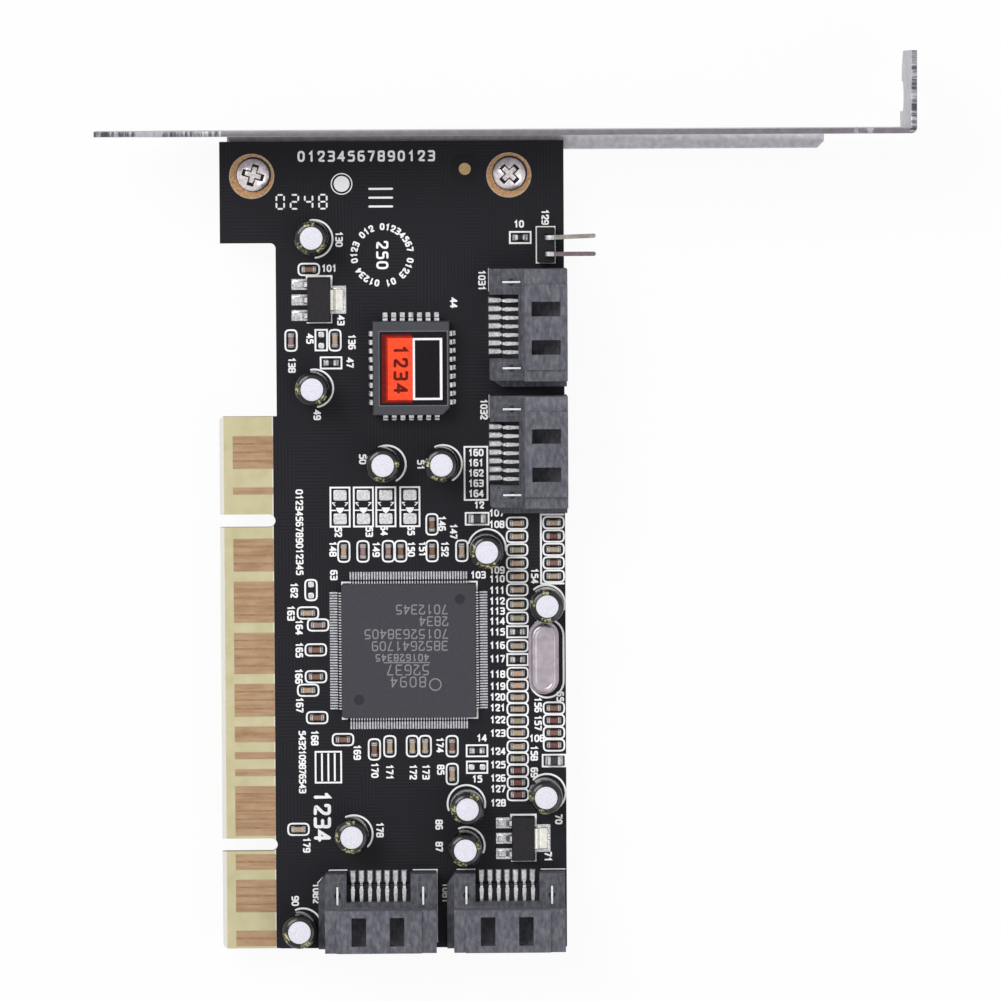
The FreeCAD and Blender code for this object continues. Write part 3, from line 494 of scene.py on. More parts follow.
def header_nylon():
    """Grey nylon with faint flow streaks, with painted shade: darker at the rear and dark near the board."""
    made = Finish("header_nylon", (90, 90, 99), 0.55, mirror=0.3)
    flow = made.noise(0.5, 5.0, (1, 0.45, 1))
    front = made.ramp(flow, (0.32, (72, 73, 83)), (0.5, (91, 91, 100)), (0.68, (110, 110, 118)))
    rear = made.ramp(flow, (0.32, (58, 59, 67)), (0.5, (76, 76, 84)), (0.68, (94, 94, 102)))
    x, y, z = made.axes()
    # painted shade: the nylon below the rear part's top is darker
    grey = made.mix(made.maths("LESS_THAN", z, TOP + HEADER_REAR_HIGH + 0.02), front, rear)
    # painted shade: dark near the board, below 2.6 mm
    made.give("Base Color", made.mix(made.maths("LESS_THAN", z, 2.6), grey, (42, 41, 46)))
    made.relief(flow, 0.02)
    return made.material


# Plain finishes: name, dark and light colour, grain, roughness, relief, metallic, mirror share, stretch
PLAIN_FINISHES = (
    ("screw_nickel", (190, 180, 182), (238, 230, 232), 0.4, 0.3, 0.006, 0.85),
    ("controller_moulding", (58, 57, 63), (71, 70, 77), 0.12, 0.62, 0.012, 0, 0.2, (0.35, 1, 1)),
    ("regulator_moulding", (28, 26, 29), (42, 39, 42), 0.2, 0.6, 0.012, 0, 0.2),
    ("flash_moulding", (58, 59, 64), (76, 76, 82), 0.12, 0.55, 0.012, 0, 0.25),
    ("lead_tin", (160, 160, 166), (220, 220, 224), 0.4, 0.32, 0.008, 0.8),
    ("solder", (130, 129, 132), (232, 232, 234), 0.22, 0.26, 0.03, 0.75),
    # white print, also a painted highlight line beside two disk headers
    ("white_print_and_highlight", (250, 250, 252), (255, 255, 255), 0.25, 0.5, 0.004),
    ("sleeve_film", (10, 10, 12), (18, 18, 21), 1.2, 0.16, 0.01, 0, 0.45),
    ("can_aluminium", (206, 205, 218), (236, 235, 244), 0.16, 0.6, 0.012, 0.1),
    ("crystal_nickel", (156, 146, 153), (182, 172, 180), 1.4, 0.3, 0.008, 0.7),
    # black nylon of the pin header's block, also used as painted shade in the disk headers' clip holes
    ("header_block_nylon", (14, 14, 16), (30, 28, 30), 0.3, 0.5, 0.01, 0, 0.2),
    ("header_pin_plating", (128, 124, 118), (166, 162, 152), 0.9, 0.3, 0.01, 0.75),
    ("bare_copper", (150, 110, 76), (208, 164, 116), 0.4, 0.4, 0.015, 0.35),
    ("pad_tin", (148, 148, 154), (214, 214, 220), 0.25, 0.34, 0.03, 0.6),
    ("bare_land_tin", (176, 176, 180), (236, 236, 238), 0.3, 0.34, 0.03, 0.45),
    ("regulator_tab_tin", (222, 219, 210), (244, 241, 232), 0.6, 0.3, 0.01, 0.4),
    ("label_ground", (20, 16, 21), (26, 21, 26), 0.4, 0.45, 0.004, 0, 0.1),
    ("label_red", (244, 70, 34), (255, 86, 46), 0.5, 0.45, 0.004, 0, 0.2),
    # painted shadow: the next two darken the red field's rim; the first also prints the label's digits
    ("label_red_band", (90, 20, 16), (114, 28, 22), 0.5, 0.45, 0.004, 0, 0.1),
    ("label_red_edge", (158, 32, 22), (180, 38, 26), 0.5, 0.45, 0.004, 0, 0.1),
    ("label_rim", (98, 99, 106), (116, 117, 123), 0.4, 0.5, 0.004, 0, 0.2),
    ("label_white", (244, 244, 247), (252, 252, 254), 0.4, 0.45, 0.004, 0, 0.2),
    ("chip_marking", (126, 124, 129), (150, 148, 153), 0.12, 0.7, 0.004, 0, 0.2),
    ("resistor_film", (22, 22, 26), (44, 44, 50), 0.15, 0.4, 0.006, 0, 0.3),
    ("bead_ferrite", (40, 40, 45), (64, 64, 70), 0.2, 0.5, 0.01, 0, 0.3),
    ("camera_mark_gold", (150, 124, 84), (186, 160, 112), 0.3, 0.4, 0.01, 0.4),
    # painted shade: the screws' recess walls and a dark ring round each screw head
    ("grime", (40, 36, 38), (66, 60, 62), 0.2, 0.6, 0.004, 0, 0.2),
    ("ring_rim", (158, 132, 106), (206, 182, 154), 0.22, 0.45, 0.02, 0.3),
    ("clearing", (20, 19, 22), (25, 24, 28), 0.5, 0.5, 0.002, 0, 0.14),
    # painted shade for the floors of the controller's mould marks
    ("mould_mark", (48, 47, 53), (57, 56, 62), 0.2, 0.5, 0.004, 0, 0.1),
    ("shaded_tin", (66, 66, 72), (96, 96, 102), 0.3, 0.4, 0.006, 0.5),
    # painted shade: a darker copy of the pin plating for the second pin
    ("dark_pin_plating", (92, 80, 86), (128, 114, 118), 0.9, 0.32, 0.01, 0.7),
    ("bright_solder", (136, 134, 138), (252, 251, 253), 0.3, 0.24, 0.03, 0.5),
    ("dull_solder", (118, 112, 104), (170, 164, 154), 0.3, 0.42, 0.02, 0.5),
    ("end_cap_tin", (168, 166, 168), (226, 224, 226), 0.2, 0.36, 0.01, 0.6),
    ("shell_ridge", (86, 86, 94), (104, 104, 112), 0.4, 0.6, 0.01, 0, 0.3),
    # painted shadow: the dark lines between neighbouring gold contacts
    ("contact_gap_shade", (150, 112, 76), (176, 138, 98), 0.6, 0.5, 0.004, 0, 0.3),
    ("clip_tin", (206, 206, 208), (250, 250, 252), 0.3, 0.3, 0.008, 0.6),
    ("ceramic_tan", (156, 132, 108), (188, 166, 142), 0.25, 0.5, 0.01, 0, 0.35),
    ("ceramic_peach", (176, 140, 116), (202, 168, 144), 0.25, 0.5, 0.01, 0, 0.35),
    ("ceramic_brown", (104, 74, 60), (140, 106, 90), 0.25, 0.5, 0.01, 0, 0.35),
    ("ceramic_red", (94, 50, 49), (130, 80, 77), 0.25, 0.5, 0.01, 0, 0.35),
    ("ceramic_mauve", (124, 98, 98), (160, 134, 132), 0.25, 0.5, 0.01, 0, 0.35),
    ("ceramic_olive", (132, 124, 100), (164, 154, 130), 0.25, 0.5, 0.01, 0, 0.35),
)
FINISHES = {row[0]: speckled(*row) for row in PLAIN_FINISHES}
FINISHES.update(board_lacquer=board_lacquer(), contact_gold=plated_finger(), bracket_zinc=bracket_zinc(),
                sleeve_gold_print=worn_print(), header_nylon=header_nylon())
CERAMICS = "ceramic_tan ceramic_peach ceramic_brown ceramic_red ceramic_mauve ceramic_olive"


def circuit_board():
    """The board and its contacts keep their CAD shapes; thin dark lines of painted shadow lie between
    contacts.
    """
    for node, finish in (("circuit_board", "board_lacquer"), ("edge_contacts_front", "contact_gold"),
                         ("edge_contacts_back", "contact_gold")):
        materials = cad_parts[node].data.materials
        materials.clear()
        materials.append(FINISHES[finish])
    boxes = sorted(solids_of("edge_contacts_front"), key=lambda box: box[0][1])
    forms = []
    for (low, high), next_box in zip(boxes, boxes[1:]):
        gap = next_box[0][1] - high[1]
        if gap < 0.5:
            line = slab(high[0] - low[0], gap - 0.02, 0, 0.012)
            forms.append(line.moved((low[0] + high[0]) / 2, high[1] + gap / 2, TOP))
    # painted shadow between neighbouring contacts
    piece("contact_gap_lines", forms, "contact_gap_shade")


def bracket_and_screws():
    """Folded steel bracket with softened edges, and two pan-head screws.

    A screw head is a height over radius and angle: a dome that rolls down at the rim, less a
    cross recess of two arms. An arm's depth falls off across it within 0.16 mm and along it
    within 0.5 mm; the deeper arm counts where both meet. Its walls carry painted shade.
    """
    softened("bracket", "bracket_sheet", 0.12, "bracket_zinc")
    around, rings = 144, 56
    angle = np.arange(around) * 2 * np.pi / around
    screws = []
    boxes = sorted(solids_of("bracket_screws"), key=lambda box: box[0][0])
    for (low, high), turn in zip(boxes, np.radians((-16.5, 45))):
        radius = (high[0] - low[0]) / 2
        reach = np.concatenate([[0.02], np.linspace(0.06, 1.0, rings - 1)]) * radius
        x, y = np.outer(reach, np.cos(angle)), np.outer(reach, np.sin(angle))
        along = np.abs(x * np.cos(turn) + y * np.sin(turn))
        across = np.abs(-x * np.sin(turn) + y * np.cos(turn))
        arms = [np.minimum(np.clip((0.5 - narrow) / 0.16, 0, 1), np.clip((1.66 - long) / 0.5, 0, 1))
                for narrow, long in ((across, along), (along, across))]
        inside = np.maximum(*arms)
        dome = high[2] - TOP - 0.75 * (reach / radius)[:, None] ** 3.2
        crown = np.stack([x, y, TOP + dome - 0.8 * inside], axis=-1)
        rim = [np.stack([share * x[-1], share * y[-1], np.full(around, z)], axis=-1) for share, z in
               ((1, TOP + 0.25), (1, TOP), (0.52, TOP), (0.52, low[2] + 0.2), (0.4, low[2]))]
        form = skin(np.concatenate([crown, rim]))
        wall = (inside[:-1] + inside[1:]) / 2
        wall = (wall + np.roll(wall, -1, axis=1)) / 2
        # painted shade: faces on the recess walls take finish 1, a dark grey
        form.coats[0].reshape(-1, around)[:rings - 1] = (wall > 0.06) & (wall < 0.94)
        screws.append(form.moved(*(low + high)[:2] / 2))
    piece("bracket_screw_pair", screws, "screw_nickel grime", ["bracket_screws"])


# Middles of the two mounting rings on the board
RING_PLACES = ((5.05, 75.15), (43.05, 75.15))


def ring_lands():
    """Bare copper rings under the screw heads, a ring of painted shadow round each head, and the round camera
    mark beside them.
    """
    ring = turned([(1.8, 0.03), (3.16, 0.03), (3.3, 0.034), (3.345, 0)], 72, [0, 1, 1])
    forms = [ring.moved(x, y, TOP) for x, y in RING_PLACES]
    for low, high in solids_of("bracket_screws"):
        x, y = (low + high)[:2] / 2
        radius = (high[0] - low[0]) / 2
        # painted shadow: a dark ring just outside each screw head, shifted up and to the right
        shadow = turned([(1.9, 0.036), (radius + 0.2, 0.036), (radius + 0.22, 0.03)], 60).coated(3)
        forms.append(shadow.moved(x + 0.09, y + 0.07, TOP))
    mark = turned([(0.01, 0.03), (0.5, 0.03), (0.88, 0.03), (0.9, 0)], 40).coated(2)
    clearing = turned([(0.93, 0.004), (2.25, 0.004), (2.27, 0)], 60).coated(4)
    forms += [form.moved(36.55, 76.08, TOP) for form in (mark, clearing)]
    piece("screw_lands", forms, "bare_copper ring_rim camera_mark_gold grime clearing")


def lead_side(box, x, y, half):
    """Which way a lead points from a chip's middle, in degrees, and the place it is turned about."""
    across, up = (box[0] + box[1])[:2] / 2 - (x, y)
    if abs(across) / half[0] > abs(up) / half[1]:
        return 0 if across > 0 else 180, (x, y + up, TOP)
    return 90 if up > 0 else 270, (x + across, y, TOP)


# Marking on the controller, upside down: digits, place right of and above the middle, height, pitch
CHIP_ROWS = (("7012345", 1.98, 6.17, 1.3, 1.125), ("2834", 3.73, 4.42, 1.3, 1.125),
             ("70152638405", -0.33, 2.53, 1.3, 1.15), ("3852641709", 0.17, 0.76, 1.3, 1.15),
             ("401628345", -0.97, -0.98, 0.95, 0.9), ("52637", -0.14, -2.8, 1.45, 1.32),
             ("8094", -0.1, -4.6, 1.45, 1.42))


def controller():
    """Square chip: a drafted body with two round mould marks, their floors darkened as painted shade, and 176
    gull-wing leads on pads.
    """
    low, high = span("controller_body")
    x, y = (low + high)[:2] / 2
    half = (high[0] - low[0]) / 2
    part_line = (low[2] + high[2]) / 2
    steps = [(-0.1, low[2]), (0, part_line - 0.01), (0, part_line + 0.01), (-0.1, high[2] - 0.06),
             (-0.12, high[2] - 0.02), (-0.16, high[2]), (-0.2, high[2])]
    # painted shade: the floor of each mould mark takes the darker finish 1
    dish = turned([(0.01, 0.003), (0.7, 0.003), (0.76, 0.012), (0.79, 0)], 40, [1, 1, 0])
    forms = [layers(rectangle(2 * half, 2 * half, radius=0.45), steps).moved(x, y),
             dish.moved(35.46, 12.44, high[2]), dish.moved(20.43, -2.45, high[2])]
    piece("controller_moulding", forms, "controller_moulding mould_mark", ["controller_body"])
    face = high[2] - 0.004
    marks = []
    for text, right, up, tall, pitch in CHIP_ROWS:
        marks += number(text, x + right, y + up, tall, 180, 0.19, face, pitch)
    marks += [ribbon([(x - 3.7, y - 1.71), (x + 3.1, y - 1.71)], 0.16, level=face),
              ribbon(arc(x + 3.9, y - 5.0, 0.85, 0, 345, 30), 0.19, True, face)]
    piece("controller_marking", stepped(marks), "chip_marking")
    boxes = solids_of("controller_leads")
    toe = max(box[1][0] for box in boxes) - x
    thick, wide = 0.13, 0.19
    bend = rounded([(half - 0.15, part_line - TOP), (half + 0.3, part_line - TOP), (half + 0.5, thick / 2),
                    (toe, thick / 2)], 0.1)
    slope = (bend[:-1, 0] > half + 0.29) & (bend[1:, 0] < half + 0.53)
    pad = slab(1.05, 0.25, 0, 0.035, 0.015).moved(half + 1.18).coated(2)
    turns, places = zip(*(lead_side(box, x, y, (half, half)) for box in boxes))
    leads = copies(join([strip(bend, thick, wide, slope.astype(int)), pad]), places, turns)
    piece("controller_wings", leads, "lead_tin shaded_tin pad_tin", ["controller_leads"])


# Label fields: left, right, lower and upper edge, finish number, how far under the label's top
# finishes 3 and 5 lay a dark-red border round the red field, widest on the left: painted shadow
LABEL_FIELDS = ((24.1, 28.6, 41.64, 51.8, 3, 0.02), (24.7, 28.63, 41.9, 51.48, 5, 0.016),
                (24.98, 28.66, 42.12, 51.24, 1, 0.012), (28.68, 33.04, 42.08, 51.24, 2, 0.02),
                (29.0, 32.66, 42.4, 50.92, 0, 0.012))


def flash_chip():
    """Thick chip with one bevelled corner and J leads, and the stuck-on label in plain fields."""
    low, high = span("flash_body")
    x, y = (low + high)[:2] / 2
    half = (high - low)[:2] / 2
    outline = [-half, (half[0] - 1.1, -half[1]), (half[0], 1.1 - half[1]), half, (-half[0], half[1])]
    part_line = (low[2] + high[2]) / 2
    steps = [(-0.12, low[2]), (0, part_line - 0.02), (0, part_line + 0.02), (-0.11, high[2] - 0.14),
             (-0.15, high[2] - 0.04), (-0.25, high[2]), (-0.3, high[2])]
    piece("flash_moulding", layers(outline, steps).moved(x, y), "flash_moulding", ["flash_body"])
    solder_reach = {0: 0.4, 90: 0.7, 180: 0.05, 270: 0.35}
    boxes = solids_of("flash_leads")
    level = max(box[1][2] for box in boxes) - TOP
    thick, wide = 0.25, 0.7
    forms = []
    for box in boxes:
        turn, place = lead_side(box, x, y, half)
        edge = half[turn // 90 % 2]
        root, out = edge - 0.1, edge + 0.5 - thick / 2
        bend = rounded([(root, level - thick / 2), (out, level - thick / 2), (out, 0.12), (root - 0.3, 0.12)],
                       0.3)
        toe = edge + 0.5 + solder_reach[turn]
        land = slab(toe - root, 0.74, 0, 0.12, 0.06, 0.15).coated(1).moved((toe + root) / 2)
        forms += [copies(strip(bend, thick, wide), [place], turn), copies(land, [place], turn)]
    piece("flash_bends", forms, "lead_tin bright_solder", ["flash_leads"])
    low, high = span("flash_label")
    wide, long = (high - low)[:2]
    x, y = (low + high)[:2] / 2
    fields = [slab(wide, long, low[2], high[2] - 0.02, 0.0, 0.15).moved(x, y)]
    for left, right, down, up, coat, depth in LABEL_FIELDS:
        field = slab(right - left, up - down, high[2] - depth, high[2] - depth + 0.01).coated(coat)
        fields.append(field.moved((left + right) / 2, (down + up) / 2))
    fields.append(ribbon(rectangle(wide + 0.2, long + 0.2, x, y), 0.14, True, low[2], 0.012).coated(4))
    fields += [digit.coated(3) for digit in stepped(number("1234", 26.9, 46.65, 1.75, -90, 0.42,
                                                           high[2] - 0.01, 1.9))]
    finishes = "label_ground label_red label_white label_red_band label_rim label_red_edge"
    piece("flash_sticker", fields, finishes, ["flash_label"])


def regulators():
    """Two power packages with three narrow leads on the left and a wide tab on the right."""
    for index in (1, 2):
        body, leads = f"regulator_{index}_body", f"regulator_{index}_leads"
        softened(body, f"regulator_{index}_moulding", 0.12, "regulator_moulding")
        low, high = span(body)
        x, root = (low[0] + high[0]) / 2, (high[0] - low[0]) / 2
        level = (low[2] + high[2]) / 2 - TOP
        forms = []
        for low_corner, high_corner in solids_of(leads):
            wide = high_corner[1] - low_corner[1]
            middle = (low_corner[1] + high_corner[1]) / 2
            toe = max(high_corner[0] - x, x - low_corner[0])
            bend = rounded([(root - 0.2, level), (root + 0.3, level), (root + 0.7, 0.13), (toe, 0.13)], 0.25)
            side, turn = (1, 0) if high_corner[0] > high[0] else (-1, 180)
            tab = wide > 1.5
            land = slab(2.6, wide + (1.15 if tab else 0.9), 0, 0.04, 0.02, 0.12).coated(2)
            fillet = layers(rectangle(1.65, wide, 0.075), [(0.25, 0.03), (0.1, 0.08), (0.02, 0.2)]).coated(2)
            foot = (x + side * (toe - 0.75), middle, TOP)
            forms += [copies(strip(bend, 0.26, wide), [(x, middle, TOP)], turn).coated(int(tab)),
                      land.moved(*foot), copies(fillet, [foot], turn)]
        piece(f"regulator_{index}_bends", forms, "lead_tin regulator_tab_tin solder", [leads])


def stadium(long, wide, count=24):
    """A round-ended outline lengthways along Y, from two half circles."""
    reach = (long - wide) / 2
    return np.concatenate([arc(0, reach, wide / 2, 0, 180, count), arc(0, -reach, wide / 2, 180, 360, count)])


def crystal():
    """Drawn can: straight walls rolled over into a flat top with a shallow step, on a lipped base."""
    low, high = span("crystal_can")
    x, y = (low + high)[:2] / 2
    top = high[2]
    shell = [(0, low[2]), (0, top - 0.42), (-0.06, top - 0.2), (-0.2, top - 0.05), (-0.36, top),
             (-0.62, top), (-0.72, top - 0.07), (-0.95, top - 0.07), (-1.05, top - 0.05)]
    low, high = span("crystal_base")
    top = high[2]
    foot = [(-0.1, low[2]), (0, low[2] + 0.08), (0, top - 0.12), (-0.08, top - 0.02), (-0.38, top)]
    for node, name, steps in (("crystal_can", "crystal_shell", shell),
                              ("crystal_base", "crystal_foot", foot)):
        low, high = span(node)
        outline = stadium(high[1] - low[1], high[0] - low[0])
        piece(name, layers(outline, steps).moved(x, y), "crystal_nickel", [node])


def pin_header():
    """Two square pins that rise from a black block and bend out over the board's edge."""
    softened("header_block", "header_insulator", 0.15, "header_block_nylon")
    forms = []
    boxes = sorted(solids_of("header_pins"), key=lambda box: -box[0][1])
    # painted shade: the second pin takes the darker plating, finish 1
    for (low, high), tilt, coat in zip(boxes, (0.26, 0.0), (0, 1)):
        square = high[1] - low[1]
        middle = (low[1] + high[1]) / 2
        left = low[0] + square / 2
        level = high[2] - square / 2 - TOP
        path = rounded([(left, 0), (left, level), (high[0] - 0.2, level)], 0.55, steps=6)
        path = np.concatenate([path[:-1], [(left + 1.0, level)], path[-1:], [(high[0], level)]])
        wide = np.full(len(path), square)
        wide[-1] = square * 0.45
        form = strip(path, square, wide, np.where(path[1:, 0] < left + 1.01, 2, coat))
        run = np.clip((form.points[:, 0] - left) / (high[0] - left), 0, 1)
        form.points[:, 1] += tilt * run
        forms.append(form.moved(0, middle - tilt / 2, TOP))
    piece("header_pin_pair", forms, "header_pin_plating dark_pin_plating lead_tin",
          ["header_pins"])


# Widths of a disk header's contact: distances from its foot, and the width at each
SATA_TAPER = ((0, 1.5, 1.8, 2.3, 2.5, 4.4, 5.6), (0.62, 0.62, 0.4, 0.42, 0.6, 0.4, 0.6))


def sata_headers():
    """Moulded shells with softened edges, bent contacts with tapered runs, and hold-down clips.

    Round each clip's middle lies a lens-shaped hole, drawn from two sine arcs as a flat dark sheet of painted
    shade.
    """
    rear = TOP + HEADER_REAR_HIGH
    share = np.linspace(0, 1, 11)
    lens = np.stack([(share - 0.5) * 1.35, -0.5 * np.sin(share * np.pi)], axis=1)
    lens = np.concatenate([lens, -lens[1:-1]])
    foot = layers(rectangle(1.49, 0.6, 0.805),
                  [(0.17, 0), (0.14, 0.06), (0.06, 0.12), (0.0, 0.22), (-0.06, 0.23), (-0.1, 0.2)],
                  [2, 2, 1, 1, 1])
    for header in ("sata_1", "sata_2", "sata_3", "sata_4"):
        softened(f"{header}_shell", f"{header}_housing", 0.09, "header_nylon")
        softened(f"{header}_clips", f"{header}_holders", 0.05, "clip_tin")
        low, high = span(f"{header}_contacts")
        sideways = high[0] - low[0] > high[1] - low[1]
        deep = (high - low)[0 if sideways else 1]
        run = high[2] - TOP - 0.1
        path = rounded([(0, 0.14), (1.95, 0.14), (1.95, run), (deep, run)], 0.3)
        path = np.insert(path, -1, [(2.5, run), (4.4, run), (5.6, run)], axis=0)
        wide = np.interp(path[:, 0], *SATA_TAPER)
        middles = [(one + other) / 2 for one, other in solids_of(f"{header}_contacts")]
        places = [(low[0], y, TOP) if sideways else (x, high[1], TOP) for x, y, z in middles]
        contacts = copies(join([strip(path, 0.2, wide), foot]), places, 0 if sideways else -90)
        piece(f"{header}_blades", contacts, "lead_tin bright_solder dull_solder",
              [f"{header}_contacts"])
        slots = []
        for low, high in solids_of(f"{header}_clips"):
            x, y = (low + high)[:2] / 2
            wide, long = (high - low)[:2]
            outline = lens[:, ::-1] * (-1, 1) if long > wide else lens
            # painted shade: a flat dark sheet stands for the hole round the clip
            slots += [layers(outline, [(0, 0), (0, 0.012)]).moved(x, y, rear),
                      slab(wide, long, 0.002, 0.03, 0.01).coated(2).moved(x, y, rear),
                      ribbon(rectangle(wide + 1.4, long + 1.4, x, y), 0.1, True, rear, 0.008).coated(1)]
        piece(f"{header}_slots", slots, "header_block_nylon shell_ridge clip_tin")


# Gold print on each can's shoulder: middle and half width of each patch, in degrees
GOLD_PATCHES = [[(100, 20), (225, 25), (315, 22)], [(180, 22), (310, 24)], [(255, 24), (10, 14)],
                [(260, 30), (170, 14)], [(170, 20), (185, 12), (270, 40)], [(95, 14), (170, 16), (265, 22)],
                [(175, 18), (265, 24)], [(180, 20), (225, 16), (60, 20)], [(250, 26), (20, 16)],
                [(95, 18), (180, 18), (265, 40)], [(200, 20), (300, 24)]]


def capacitors():
    """Eleven sleeved cans, each a turned profile.

    From the board up: a narrow foot, the crimp groove near the foot, the straight wall, the
    sleeve rolled over the shoulder in three small folds, its lip, and the bare aluminium disc.
    """
    around, sweep = 60, 84
    angles = (np.arange(around) + 0.5) * 360 / around
    groove = np.linspace(0, np.pi, 7)
    roll = np.linspace(0, sweep, 25)
    depth = 0.78 - 0.025 * (1 - np.cos(np.radians(roll * 3 * 360 / sweep))) / 2
    roll = np.radians(roll)
    for index, patches in enumerate(GOLD_PATCHES, start=1):
        node = f"capacitor_{index:02d}"
        low, high = span(node)
        radius, tall = (high[0] - low[0]) / 2, high[2] - low[2]
        shoulder = np.stack([radius - 0.78 + depth * np.cos(roll), tall - 0.8 + depth * np.sin(roll)], axis=1)
        crimp = np.stack([radius - 0.2 * np.sin(groove), 1.1 + 0.5 * groove / np.pi], axis=1)
        foot = [(radius - 0.3, 0), (radius - 0.1, 0.08), (radius - 0.02, 0.4), (radius, 0.8)]
        wall = [(radius, tall - 2.4), (radius, tall - 1.6)]
        disc = [(1.7, tall - 0.02), (1.66, tall - 0.1), (1.6, tall - 0.1), (1.2, tall - 0.06),
                (0.5, tall - 0.04), (0.03, tall - 0.04)]
        profile = np.concatenate([foot, crimp, wall, shoulder, disc])
        bands = np.zeros(len(profile) - 1, int)
        bands[-4:] = 1
        form = turned(profile, around, bands)
        rows = form.coats[0].reshape(-1, around)
        first = len(foot) + len(crimp) + len(wall)
        for middle, half in patches:
            near = np.abs((angles - middle + 180) % 360 - 180) < half
            rows[first + 3:first + 24, near] = 2
        piece(f"can_{index:02d}", form.moved(*(low + high)[:2] / 2, low[2]),
              "sleeve_film can_aluminium sleeve_gold_print", [node])


def chip_form(long, wide, high, band):
    """A chip part lengthways along X: a chamfered section carried from end to end.

    The end caps stand a little proud of the body between them. Finish 0 is the body, 1 the caps.
    """
    half_long, soft = long / 2, 0.07
    section = np.array([(-1, 0), (-1, 1), (1, 1), (1, 0)], float)
    stations = [(-half_long, 0.82), (-half_long + soft, 1), (-half_long + band, 1),
                (-half_long + band, 0.93), (half_long - band, 0.93), (half_long - band, 1),
                (half_long - soft, 1), (half_long, 0.82)]
    rings = []
    for place, fill in stations:
        outline = section * (wide / 2 * fill, high * fill)
        outline[:, 1] += high * (1 - fill) * 0.35
        outline = rounded(outline, 0.09, closed=True, steps=1)
        rings.append(np.hstack([np.full((len(outline), 1), place), outline]))
    return skin(rings, [1, 1, 1, 0, 1, 1, 1])


def ceramic_kind(x, y):
    """Which ceramic a chip capacitor is made of, by its row in the two long columns."""
    row = int(round((23.7 - y) / 2.01))
    if x > 47:
        return (0, 3, 0, 2, 0)[row] if 0 <= row < 5 else 2 + row % 2
    if x > 42:
        return 3 if y < -12 else (0, 0, 5, 1, 1, 0, 0, 5)[row % 8]
    return (2, 4, 0, 4, 2, 0)[int(abs(x * 1.7 + y)) % 6]


def chip_parts():
    """Ceramic capacitors, resistors and beads on solder pads, each family one template."""
    families = (("chip_capacitors", "chip_ceramics", 0.17, 0.62, CERAMICS, "ceramic"),
                ("chip_resistors", "chip_films", 0.42, 0.72, "resistor_film", "resistor_black"),
                ("ferrite_beads", "chip_beads", 0.45, 0.72, "bead_ferrite", "ferrite"))
    pads = []
    for node, name, band, pad_long, bodies, slot in families:
        forms, caps = [], len(bodies.split())
        for low, high in solids_of(node):
            x, y = (low + high)[:2] / 2
            wide, long, tall = high - low
            turn = 90 if long > wide else 0
            if not turn:
                wide, long = long, wide
            form = chip_form(long, wide, tall, band)
            kind = ceramic_kind(x, y) if caps > 1 else 0
            form.coats = [np.where(group == 1, caps, kind) for group in form.coats]
            forms.append(copies(form, [(x, y, TOP)], turn))
            pad = slab(pad_long, wide + 0.12, 0, 0.05, 0.02, 0.12)
            fillet = layers(rectangle(0.35, wide, -0.125),
                            [(0, 0.0), (-0.05, tall * 0.35), (-0.12, tall * 0.6)]).coated(1)
            end = copies(join([pad, fillet]), [(-long / 2, 0, 0), (long / 2, 0, 0)], (0, 180))
            pads.append(copies(end, [(x, y, TOP)], turn))
        piece(name, forms, f"{bodies} end_cap_tin", [node])
    piece("chip_solder", pads, "dull_solder bright_solder")


def lead_ends():
    """Clipped lead ends on the solder side, each in a concave cone of solder."""
    low, high = span("lead_ends")
    long = high[2] - low[2]
    cone = [(1.0, 0), (0.98, -0.05), (0.7, -0.16), (0.5, -0.4), (0.36, -0.75), (0.33, long * -0.92),
            (0.2, -long)]
    places = [(*(low + high)[:2] / 2, BACK) for low, high in solids_of("lead_ends")]
    piece("solder_joints", copies(turned(cone, 20), places), "solder", ["lead_ends"])


# Print: outlines, numbers and marks in white on the lacquer

# Each digit in a box 4 wide and 6 high: how far its corners round, then its strokes, closed or not
DIGITS = {
    "0": (2.2, [([(0, 0), (4, 0), (4, 6), (0, 6)], True)]),
    "1": (0.0, [([(0.9, 4.7), (2.3, 6), (2.3, 0)], False)]),
    "2": (1.5, [([(0, 4.4), (0, 6), (4, 6), (4, 3.6), (0, 0.2), (4, 0)], False)]),
    "3": (1.0, [([(0, 6), (4, 6), (4, 3.1), (0.9, 3.1)], False),
                ([(0.9, 3.1), (4, 3.1), (4, 0), (0, 0)], False)]),
    "4": (0.0, [([(3.1, 0), (3.1, 6)], False), ([(3.1, 6), (0, 1.8), (4.2, 1.8)], False)]),
    "5": (1.3, [([(3.8, 6), (0.3, 6), (0.2, 3.5), (4, 3.8), (4, 0), (0, 0)], False)]),
    "6": (1.5, [([(3.6, 6), (0, 6), (0, 0), (4, 0), (4, 3.4), (1.4, 3.4)], False)]),
    "7": (0.3, [([(0, 6), (4, 6), (1.5, 0)], False)]),
    "8": (1.0, [([(0.1, 3.1), (3.9, 3.1), (3.9, 6), (0.1, 6)], True),
                ([(0, 3.1), (4, 3.1), (4, 0), (0, 0)], True)]),
    "9": (1.5, [([(0.4, 0), (4, 0), (4, 6), (0, 6), (0, 2.7), (2.6, 2.7)], False)]),
}


# Digits made of separate bars: which bars each has, and the ends of each bar in the same box
SEGMENTS = {"0": "abcdef", "2": "abged", "4": "fgbc", "8": "abcdefg"}
SEGMENT_ENDS = {"a": ((0, 6), (4, 6)), "b": ((4, 6), (4, 3)), "c": ((4, 3), (4, 0)), "d": ((0, 0), (4, 0)),
                "e": ((0, 3), (0, 0)), "f": ((0, 6), (0, 3)), "g": ((0, 3), (4, 3))}
DIGIT_WIDE = 0.58           # a digit's width as a share of its height


